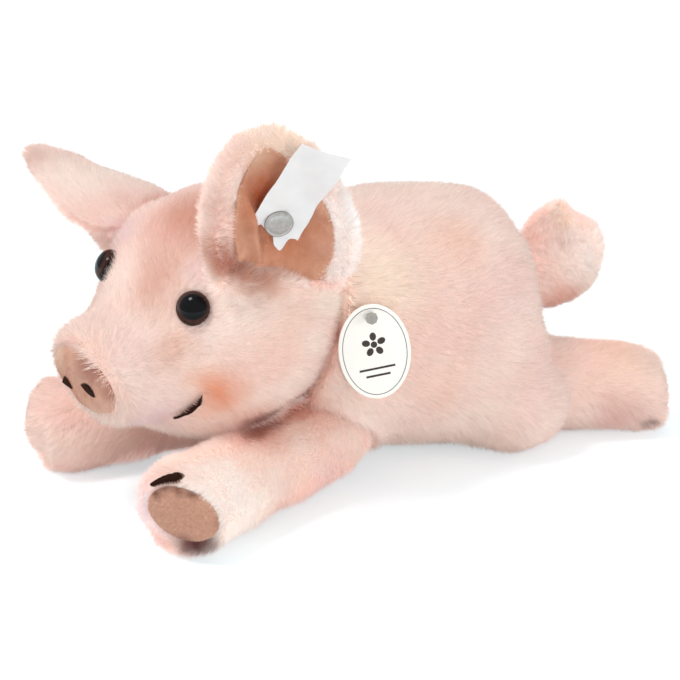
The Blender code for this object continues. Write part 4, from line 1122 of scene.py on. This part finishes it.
def off_nostrils(places):
    """No pile under the nostrils' stitches and behind the pad."""
    gap = places - nose_place
    share = np.ones(len(places))
    for x, y in NOSTRILS:
        aside, above = gap @ NOSE_ACROSS - x, gap @ NOSE_UP - y
        share[(aside / NOSTRIL_HALF_WIDTH) ** 2 + (above / NOSTRIL_HALF_HEIGHT) ** 2 < 0.85] = 0
    share[gap @ NOSE_OUT < 0] = 0
    return share


lay_pile("nose_velour_pile", nose, "head", 26000, short_nap(-NOSE_UP + NOSE_ACROSS * 0.4), 61, nose_pile,
         keep=off_nostrils, length=0.0008, width=0.00013, tuft=0.0009)

sole_spots = []
for leg_name in LEGS:
    middle, side, up, _, half_width, half_height = pad_frame(leg_name)
    # Painted shadow along the top and right edge of each sole, under the overhanging plush, and painted shade
    # on its lower edge
    rim = [(math.cos(turn) * half_width, math.sin(turn) * half_height, 0.0040, (104, 64, 52), 0.85)
           for turn in map(math.radians, (155, 132, 109, 86))]
    sole_spots += spots_on(middle, side, up, rim + [
        (0.003, -0.0108, 0.0070, SOLE_LOWER_SHADE, 0.95),
        (0.0135, 0.002, 0.0045, (150, 100, 84), 0.70),
    ])
sole_cloth, sole_pile = velour("sole velour", (209, 161, 138), (198, 149, 127), sole_spots, mottle=0.0011)
for number, (leg_name, (body, _, _)) in enumerate(LEGS.items()):
    middle, side, up, out, half_width, half_height = pad_frame(leg_name)
    sole_name = leg_name.replace("leg", "sole")
    pad = domed_pad(sole_name + "_velour", half_width, half_height, 0.0016, 0.0040)
    set_in(pad, middle, side, up, out)
    stuffed(pad, body, sole_cloth, "sole", 0.5, sole_name)

    def front_only(places, middle=middle, out=out):
        return ((places - middle) @ out > 0).astype(float)

    lay_pile(sole_name + "_velour_pile", pad, body, 18000, short_nap(-up), 71 + number, sole_pile,
             keep=front_only, length=0.0007, width=0.00013, tuft=0.0009)

# Embroidery
# Nostrils, mouth and the clefts of the feet are satin stitch: dark brown threads laid side by
# side through the plush. Each stitch is one short thread that dips in at both ends.
def mottled(name, roughness, dark, light, scale, detail=2.0, relief=0.0, **plain):
    """A plain material, clouded between two colours, and the noise that clouds it."""
    material, tree, shader = new_material(name, roughness, **plain)
    noise = cloudy(tree, object_place(tree), scale, detail)
    feed(shader, {"Base Color": mixed(tree, noise, paint(*dark), paint(*light))})
    if relief:
        bumped(tree, shader, noise, relief)
    return material, tree, shader, noise


thread_dark = mottled("brown thread", 0.7, (30, 13, 7), (54, 29, 19), 1400, relief=0.0002, specular=0.08)[0]
THREAD_SIDES = 6
THREAD_RINGS = 7


def stitched(name, body, slot, node, rows):
    """One piece of stitches; each row is a stitch's two ends, its rise and its thread's radius."""
    verts = []
    faces = []
    for start, end, rise, radius in rows:
        start, end, rise = np.array(start, float), np.array(end, float), np.array(rise, float)
        run = (end - start) / np.linalg.norm(end - start)
        aside = np.cross(run, rise / np.linalg.norm(rise))
        first = len(verts)
        for ring in range(THREAD_RINGS):
            share = ring / (THREAD_RINGS - 1)
            bulge = math.sin(math.pi * share)
            middle = start + (end - start) * share + rise * bulge ** 0.7
            thick = radius * (0.25 + 0.75 * bulge ** 0.5)
            for k in range(THREAD_SIDES):
                angle = 2 * math.pi * k / THREAD_SIDES
                way = aside * math.cos(angle) + np.cross(aside, run) * math.sin(angle)
                verts.append(middle + way * thick)
        for ring in range(THREAD_RINGS - 1):
            for k in range(THREAD_SIDES):
                a = first + ring * THREAD_SIDES + k
                b = first + ring * THREAD_SIDES + (k + 1) % THREAD_SIDES
                faces.append((a, a + THREAD_SIDES, b + THREAD_SIDES, b))
        faces.append(tuple(first + k for k in range(THREAD_SIDES)))
        last = first + (THREAD_RINGS - 1) * THREAD_SIDES
        faces.append(tuple(last + k for k in reversed(range(THREAD_SIDES))))
    mesh = bpy.data.meshes.new(name)
    mesh.from_pydata([tuple(v) for v in verts], [], faces)
    obj = placed(name, mesh)
    mended(obj)
    bpy.ops.object.shade_smooth()
    fitted(obj, body, thread_dark, slot, node)


def along_line(line, share):
    """A point this far along a line of points, and the line's way there."""
    line = np.array(line, float)
    spans = np.linalg.norm(np.diff(line, axis=0), axis=1)
    walked = np.concatenate(((0,), np.cumsum(spans)))
    at = share * walked[-1]
    point = np.array([np.interp(at, walked, line[:, k]) for k in range(3)])
    span = min(int(np.searchsorted(walked, at, side="right")) - 1, len(spans) - 1)
    return point, (line[span + 1] - line[span]) / spans[span]


THREAD_RADIUS = 0.00022
CLEFT_THREAD_RADIUS = 0.00026
MOUTH_STITCHES = 34
MOUTH_START = 0.28
NOSTRIL_STITCHES = 23
CLEFT_STITCHES = 34
rng = np.random.default_rng(81)
for side_name, line in (("left", MOUTH_LEFT), ("right", MOUTH_RIGHT)):
    rows = []
    for k in range(MOUTH_STITCHES):
        share = MOUTH_START + (1 - MOUTH_START) * k / (MOUTH_STITCHES - 1)
        point, run = along_line(line, share)
        out = point - np.array((HEAD_MIDDLE.x, point[1] + 0.012, HEAD_MIDDLE.z - 0.012))
        out -= run * (out @ run)
        out /= np.linalg.norm(out)
        slant = np.cross(run, out) * 0.75 + run * 0.66

        # Longest two thirds of the way to the mouth's corner, and each a little different
        half = 0.0002 + 0.0017 * math.sin(math.pi * min(share ** 1.7, 0.97)) ** 1.2
        half *= rng.uniform(0.8, 1.15)
        rows.append((point - slant * half - out * 0.0002, point + slant * half - out * 0.0002,
                     out * (0.0004 + half * 0.4), THREAD_RADIUS))
    stitched("mouth_stitches_" + side_name, "head", "thread", "mouth_stitch_" + side_name, rows)

for (x, y), side_name in zip(NOSTRILS, ("left", "right")):
    rows = []
    for k in range(NOSTRIL_STITCHES):
        share = k / (NOSTRIL_STITCHES - 1) * 2 - 1
        half = NOSTRIL_HALF_HEIGHT * math.sqrt(max(1 - share ** 2, 0.06))
        far = math.hypot(x / NOSE_HALF_WIDTH, y / NOSE_HALF_HEIGHT)
        lift = NOSE_RISE * (1 - far ** 3) ** 0.6 - 0.0011
        slope = -0.26 if x > 0 else 0.26
        middle = nose_place + NOSE_ACROSS * (x + share * NOSTRIL_HALF_WIDTH) + NOSE_OUT * lift
        middle += NOSE_UP * (y + share * NOSTRIL_HALF_WIDTH * slope)
        lean = NOSE_UP - NOSE_ACROSS * slope
        rows.append((middle - lean * half, middle + lean * half, NOSE_OUT * 0.0006, THREAD_RADIUS))
    stitched("nostril_stitches_" + side_name, "head", "dark", "nostril_" + side_name, rows)

for leg_name, (start, end, out) in CLEFTS.items():
    cleft_name = leg_name.replace("leg", "cleft")
    rows = []
    start, end, out = np.array(start), np.array(end), unit(out)
    run = (end - start) / np.linalg.norm(end - start)
    aside = np.cross(run, out)
    leg = bpy.data.objects[leg_name + "_plush"]
    for k in range(CLEFT_STITCHES):
        share = k / (CLEFT_STITCHES - 1)
        half = 0.0003 + 0.0029 * min(share * 4, 1) ** 0.6 * (1 - share) ** 0.6
        half *= rng.uniform(0.85, 1.1)
        middle = start + (end - start) * share
        found, place, _, _ = leg.ray_cast(Vector(middle + out * 0.010), Vector(-out))
        middle = np.array(place) + out * 0.0002 if found else middle
        rows.append((middle - aside * half - out * 0.0008, middle + aside * half - out * 0.0008,
                     out * 0.0012, CLEFT_THREAD_RADIUS))
    stitched(cleft_name + "_stitches", LEGS[leg_name][0], "dark", cleft_name, rows)

# Eyes
# Glossy plastic domes with a black pupil and a dark brown iris, on shanks through the face. A
# washer behind the cloth locks each one.
EYE_DOME = 0.0046
EYE_SEAT = 0.0012
PUPIL_ASIDE = {"left": 0.24, "right": -0.10}
PUPIL_UP = 0.09
eye_plastic, tree, shader = new_material("eye plastic", 0.05, specular=0.14)
iris = tree.nodes.new("ShaderNodeValToRGB")
feed(iris, {"Fac": attribute(tree, "from_pupil")})
rings = iris.color_ramp.elements
for element, at, tone in ((rings[0], 0.69, (4, 5, 8)), (rings[1], 0.75, (52, 27, 20))):
    element.position = at
    element.color = paint(*tone)
for at, tone in ((0.86, (66, 38, 31)), (0.93, (46, 25, 21)), (0.985, (14, 9, 9))):
    rings.new(at).color = paint(*tone)
flecks = ranged(tree, cloudy(tree, object_place(tree), 900), to_low=0.8, to_high=1.2)
feed(shader, {"Base Color": scaled(tree, iris.outputs["Color"], flecks)})
for side_name, middle, axis in EYES:
    eye = started("eye_" + side_name + "_dome", bpy.ops.mesh.primitive_uv_sphere_add, segments=64,
                  ring_count=48, radius=1)
    places, _ = corners_of(eye)
    far = np.hypot(places[:, 0] - PUPIL_ASIDE[side_name], places[:, 1] - PUPIL_UP)
    carry(eye.data, "from_pupil", np.where(places[:, 2] > 0, far, 1.0))
    moved(eye, places * np.array((EYE_RADIUS, EYE_RADIUS, EYE_DOME)))
    bpy.ops.object.shade_smooth()
    out = np.array(axis)
    across = unit(np.cross((0, 0, 1.0), out))
    set_in(eye, np.array(middle) - out * EYE_SEAT, across, np.cross(out, across), out)
    fitted(eye, "head", eye_plastic, "eye", "eye_" + side_name)

# Ear linings
# Thin velour sewn inside each ear, deep orange in the hollow, where its own colour is darkened by painted
# shade, and pale at the edge, with a soft fold down its front half.
lining_spots = []
for place, along, _, across in EARS.values():
    lining_spots += spots_on(place, along, across, (
        # The hollow: the lining's orange with painted shade
        (0.028, -0.001, 0.017, (190, 92, 52), 0.92),
        (0.012, 0.004, 0.018, (196, 122, 88), 0.80),
        (0.034, -0.016, 0.013, (214, 168, 138), 0.80),
        (0.045, -0.003, 0.010, (236, 200, 172), 0.85),
        (0.020, -0.016, 0.013, (208, 158, 130), 0.70),
        (0.006, 0.018, 0.012, (230, 178, 156), 0.70),
    ))
lining_cloth, lining_pile = velour("ear velour", (220, 164, 136), (206, 146, 116), lining_spots)
LINING_COLUMNS = 60
LINING_ROWS = 70
LINING_DEPTH = 0.0012
FOLD_ACROSS = -0.0110
FOLD_HEIGHT = 0.0036


def lining_point(ear, reach, across, depth):
    """A point of the cupped leaf, this far above the plush's inner side."""
    place, along, out, side = ear
    angle = across / EAR_CURL_RADIUS
    radius = EAR_CURL_RADIUS - depth
    lift = EAR_CURL_RADIUS - radius * math.cos(angle)
    return place + along * reach + side * (radius * math.sin(angle)) + out * lift


def thickened(obj, thickness):
    """Gives a sheet its thickness, and says how large it was before."""
    area = sum(face.area for face in obj.data.polygons)
    thick = obj.modifiers.new("Thickness", "SOLIDIFY")
    thick.thickness = thickness
    thick.offset = -1
    apply_all(obj)
    return area


for number, (side_name, ear_frame) in enumerate(EARS.items()):
    lining = started("ear_velour_" + side_name, bpy.ops.mesh.primitive_grid_add,
                     x_subdivisions=LINING_COLUMNS, y_subdivisions=LINING_ROWS, size=2)
    places, _ = corners_of(lining)
    laid = np.empty_like(places)
    for k, (x, y, _) in enumerate(places):
        t = (y + 1) / 2
        total = EAR_LENGTH + EAR_ROOT * 0.6 - 0.0032
        reach = total * t - EAR_ROOT * 0.6
        half = ear_half_width(reach) - (EAR_FRONT_MARGIN + EAR_BACK_MARGIN) / 2
        half *= math.sqrt(max(1 - (max(t - 0.70, 0) / 0.30) ** 2.6, 0.004))
        aside = x * half + (EAR_FRONT_MARGIN - EAR_BACK_MARGIN) / 2

        # A soft fold down the front half, and shallow waves all over
        ridge = math.exp(-((aside - FOLD_ACROSS - 0.003 * math.sin(t * 2.6)) / 0.0022) ** 2)
        depth = LINING_DEPTH + FOLD_HEIGHT * ridge * math.sin(math.pi * min(t * 1.15, 1)) ** 1.3
        depth += 0.0006 * math.sin(reach * 420 + aside * 300)
        laid[k] = lining_point(ear_frame, reach, aside, depth)
    moved(lining, laid)
    if side_name == "right":
        slimmer(lining, ear_frame)
    flat_area = thickened(lining, 0.0008)
    bpy.ops.object.shade_smooth()
    fitted(lining, side_name + "_ear", lining_cloth, "lining", "ear_lining_" + side_name)
    lay_pile("ear_velour_pile_" + side_name, lining, side_name + "_ear", 46000, short_nap(ear_frame[1]),
             91 + number, lining_pile, length=0.0009, width=0.00014, tuft=0.0011)

# Ear label and rivet
# A bare strip of white satin ribbon, riveted to the ear. Its lower end is cut ragged and folds
# over under the rivet. The rivet is a plain domed one of nickel-plated brass.
LABEL_PLACE = np.array((0.041433, -0.09754, 0.108827))
LABEL_X, LABEL_Y, LABEL_Z = np.array((
    (0.23024, 0.89579, -0.38021), (0.27599, 0.31455, 0.90823), (0.93318, -0.31404, -0.17481),
))
LABEL_HALF_WIDTH = 0.0088
LABEL_TAIL = 0.0050
LABEL_TOP = 0.0325
LABEL_FLAT = 0.0050
LABEL_FOLD = -0.0045
LABEL_BEND = math.radians(20)
satin, tree, shader, _ = mottled("white satin", 0.38, (232, 234, 236), (248, 248, 247), 160, sheen=0.2)
feed(shader, {"Anisotropic": 0.5})
woven = made(tree, "ShaderNodeUVMap", {}, uv_map="ribbon")
weft = {"Vector": woven, "Scale": 60, "Distortion": 0.6}
across_threads = made(tree, "ShaderNodeTexWave", weft, "Fac", bands_direction="Y")
along_threads = made(tree, "ShaderNodeTexWave", {"Vector": woven, "Scale": 40}, "Fac", bands_direction="X")
bumped(tree, shader, maths(tree, "ADD", across_threads, along_threads), 0.00006, 0.5)

label = started("ear_label_satin", bpy.ops.mesh.primitive_grid_add, x_subdivisions=48, y_subdivisions=110,
                size=2)
places, _ = corners_of(label)
ribbon = places[:, :2].copy()
laid = np.empty_like(places)
for k, (x, y, _) in enumerate(places):
    t = (y + 1) / 2

    # The lower edge is cut ragged, with a short tongue
    ragged = 0.0005 * math.sin(x * 9) + 0.0009 * math.exp(-((x + 0.62) / 0.12) ** 2)
    tongue = 0.0042 * math.exp(-((x - 0.30) / 0.26) ** 4)
    low = -LABEL_TAIL + 0.0012 - 0.0006 * x + ragged - tongue
    run = low + (LABEL_TOP - low) * t
    aside = x * LABEL_HALF_WIDTH

    # From the rivet up it bends away from the ear and waves; below it the end folds outwards
    lift = max(run - LABEL_FLAT, 0) * math.tan(LABEL_BEND)
    lift += 0.0016 * math.exp(-((run - LABEL_FLAT) / 0.004) ** 2) * abs(x)
    lift += 0.0007 * math.sin(x * 2.4 + run * 260) * min(max(run, 0) / 0.010, 1)
    if run < LABEL_FOLD:
        lift += (LABEL_FOLD - run) * 0.5
    laid[k] = LABEL_PLACE + LABEL_X * aside + LABEL_Y * run + LABEL_Z * (lift + 0.0003)
moved(label, laid)
ribbon_map = label.data.uv_layers.new(name="ribbon")
corners = np.empty(len(label.data.loops), int)
label.data.loops.foreach_get("vertex_index", corners)
ribbon_map.data.foreach_set("uv", (ribbon[corners] * 0.5 + 0.5).ravel())
label_area = thickened(label, 0.00025)
bpy.ops.object.shade_smooth_by_angle(angle=math.radians(50))
fitted(label, "label", satin, "satin", "ear_label")

nickel, tree, shader, rubbed = mottled("nickel", 0.30, (134, 128, 124), (180, 174, 169), 700, 5,
                                       metallic=1.0)
feed(shader, {"Roughness": ranged(tree, rubbed, to_low=0.22, to_high=0.42)})
RIVET_PROFILE = (
    (0.0, 0.00135), (0.0012, 0.00132), (0.0024, 0.00120), (0.0033, 0.00100), (0.00365, 0.00084),
    (0.0038, 0.00078), (0.0040, 0.00092), (0.0043, 0.00098), (0.0046, 0.00088), (0.00475, 0.00062),
    (0.0047, 0.00035), (0.0044, 0.0002), (0.0012, 0.0002), (0.0012, -0.0085), (0.0, -0.0085),
)


def spun(name, profile, steps):
    """A piece spun about Z from half its outline."""
    mesh = bpy.data.meshes.new(name)
    edges = [(k, k + 1) for k in range(len(profile) - 1)]
    mesh.from_pydata([(radius, 0, height) for radius, height in profile], edges, [])
    obj = placed(name, mesh)
    turning = obj.modifiers.new("Spin", "SCREW")
    turning.steps = steps
    turning.render_steps = steps
    turning.use_merge_vertices = True
    turning.merge_threshold = 0.00002
    apply_all(obj)
    mended(obj, merge=0.00002)
    bpy.ops.object.shade_smooth_by_angle(angle=math.radians(60))
    return obj


rivet = spun("rivet_dome", RIVET_PROFILE, 64)
set_in(rivet, LABEL_PLACE + LABEL_Z * 0.0004, LABEL_X, LABEL_Y, LABEL_Z)
fitted(rivet, "left_ear", nickel, "metal", "ear_rivet")

# Hang tag
# An oval of cream card on a clear plastic tie through the shoulder, printed with a plain
# five-petalled flower and two rules.
card_stock = mottled("cream card", 0.42, (253, 252, 243), (255, 255, 252), 500, 6, relief=0.00005,
                     specular=0.4)[0]
print_ink = mottled("printing ink", 0.5, (38, 30, 28), (66, 54, 48), 900, specular=0.4)[0]


def flat_shape(name, outlines, thickness, bevel=0.0):
    """A flat plate about the origin from closed outlines, holes among them."""
    curve = bpy.data.curves.new(name, "CURVE")
    curve.dimensions = "2D"
    curve.fill_mode = "BOTH"
    curve.extrude = thickness / 2 - bevel
    curve.bevel_depth = bevel
    curve.bevel_resolution = 2
    for outline in outlines:
        spline = curve.splines.new("POLY")
        spline.points.add(len(outline) - 1)
        for point, (x, y) in zip(spline.points, outline):
            point.co = (x, y, 0, 1)
        spline.use_cyclic_u = True
    lone(placed(name, curve))
    bpy.ops.object.convert(target="MESH")
    obj = bpy.context.active_object
    mended(obj, merge=0.000002)
    bpy.ops.object.shade_smooth_by_angle(angle=math.radians(40))
    return obj


def ring_of(x, y, half_width, half_height, turn=0.0, corners=96):
    """The corners of an oval."""
    points = []
    right, up = math.cos(turn), math.sin(turn)
    for k in range(corners):
        angle = 2 * math.pi * k / corners
        u, v = half_width * math.cos(angle), half_height * math.sin(angle)
        points.append((x + u * right - v * up, y + u * up + v * right))
    return points


CARD_THICKNESS = 0.0008
card = flat_shape("hang_card", [ring_of(0, 0, CARD_HALF_WIDTH, CARD_HALF_HEIGHT),
                                ring_of(0, CARD_HOLE_HEIGHT, 0.0012, 0.0012, corners=32)],
                  CARD_THICKNESS, bevel=0.0002)
set_in(card, CARD_MIDDLE, CARD_ACROSS, CARD_UP, CARD_OUT)
fitted(card, "card", card_stock, "card", "hang_tag")

FLOWER_AT = (0.0, 0.0024)
PETAL_REACH = 0.0028
RULE_WIDTH = 0.0007
PRINT_THICKNESS = 0.00006
prints = [ring_of(*FLOWER_AT, 0.0011, 0.0011, corners=32)]
for k in range(5):
    turn = math.pi / 2 + 2 * math.pi * k / 5
    x = FLOWER_AT[0] + PETAL_REACH * math.cos(turn)
    y = FLOWER_AT[1] + PETAL_REACH * math.sin(turn)
    prints.append(ring_of(x, y, 0.0014, 0.0011, turn, 32))
for y, half in ((-0.0058, 0.0062), (-0.0082, 0.0042)):
    low, high = y - RULE_WIDTH / 2, y + RULE_WIDTH / 2
    prints.append([(-half, low), (half, low), (half, high), (-half, high)])
for inset in (0.0011, 0.0013):
    prints.append(ring_of(0, 0, CARD_HALF_WIDTH - inset, CARD_HALF_HEIGHT - inset))
printed = flat_shape("card_print", prints, PRINT_THICKNESS)
print_place = CARD_MIDDLE + CARD_OUT * (CARD_THICKNESS / 2 + PRINT_THICKNESS / 2)
set_in(printed, print_place, CARD_ACROSS, CARD_UP, CARD_OUT)
fitted(printed, "card", print_ink, "dark")

tie_plastic = mottled("clear tie", 0.25, (142, 138, 131), (174, 170, 163), 800)[0]


def refinished(node, material):
    """A carried-over solid in a better material."""
    obj = frame["nodes"][node]
    obj.data.materials.clear()
    obj.data.materials.append(material)


refinished("tag_pin", tie_plastic)
refinished("rivet_washer", nickel)
for side_name in ("left", "right"):
    refinished("eye_washer_" + side_name, tie_plastic)
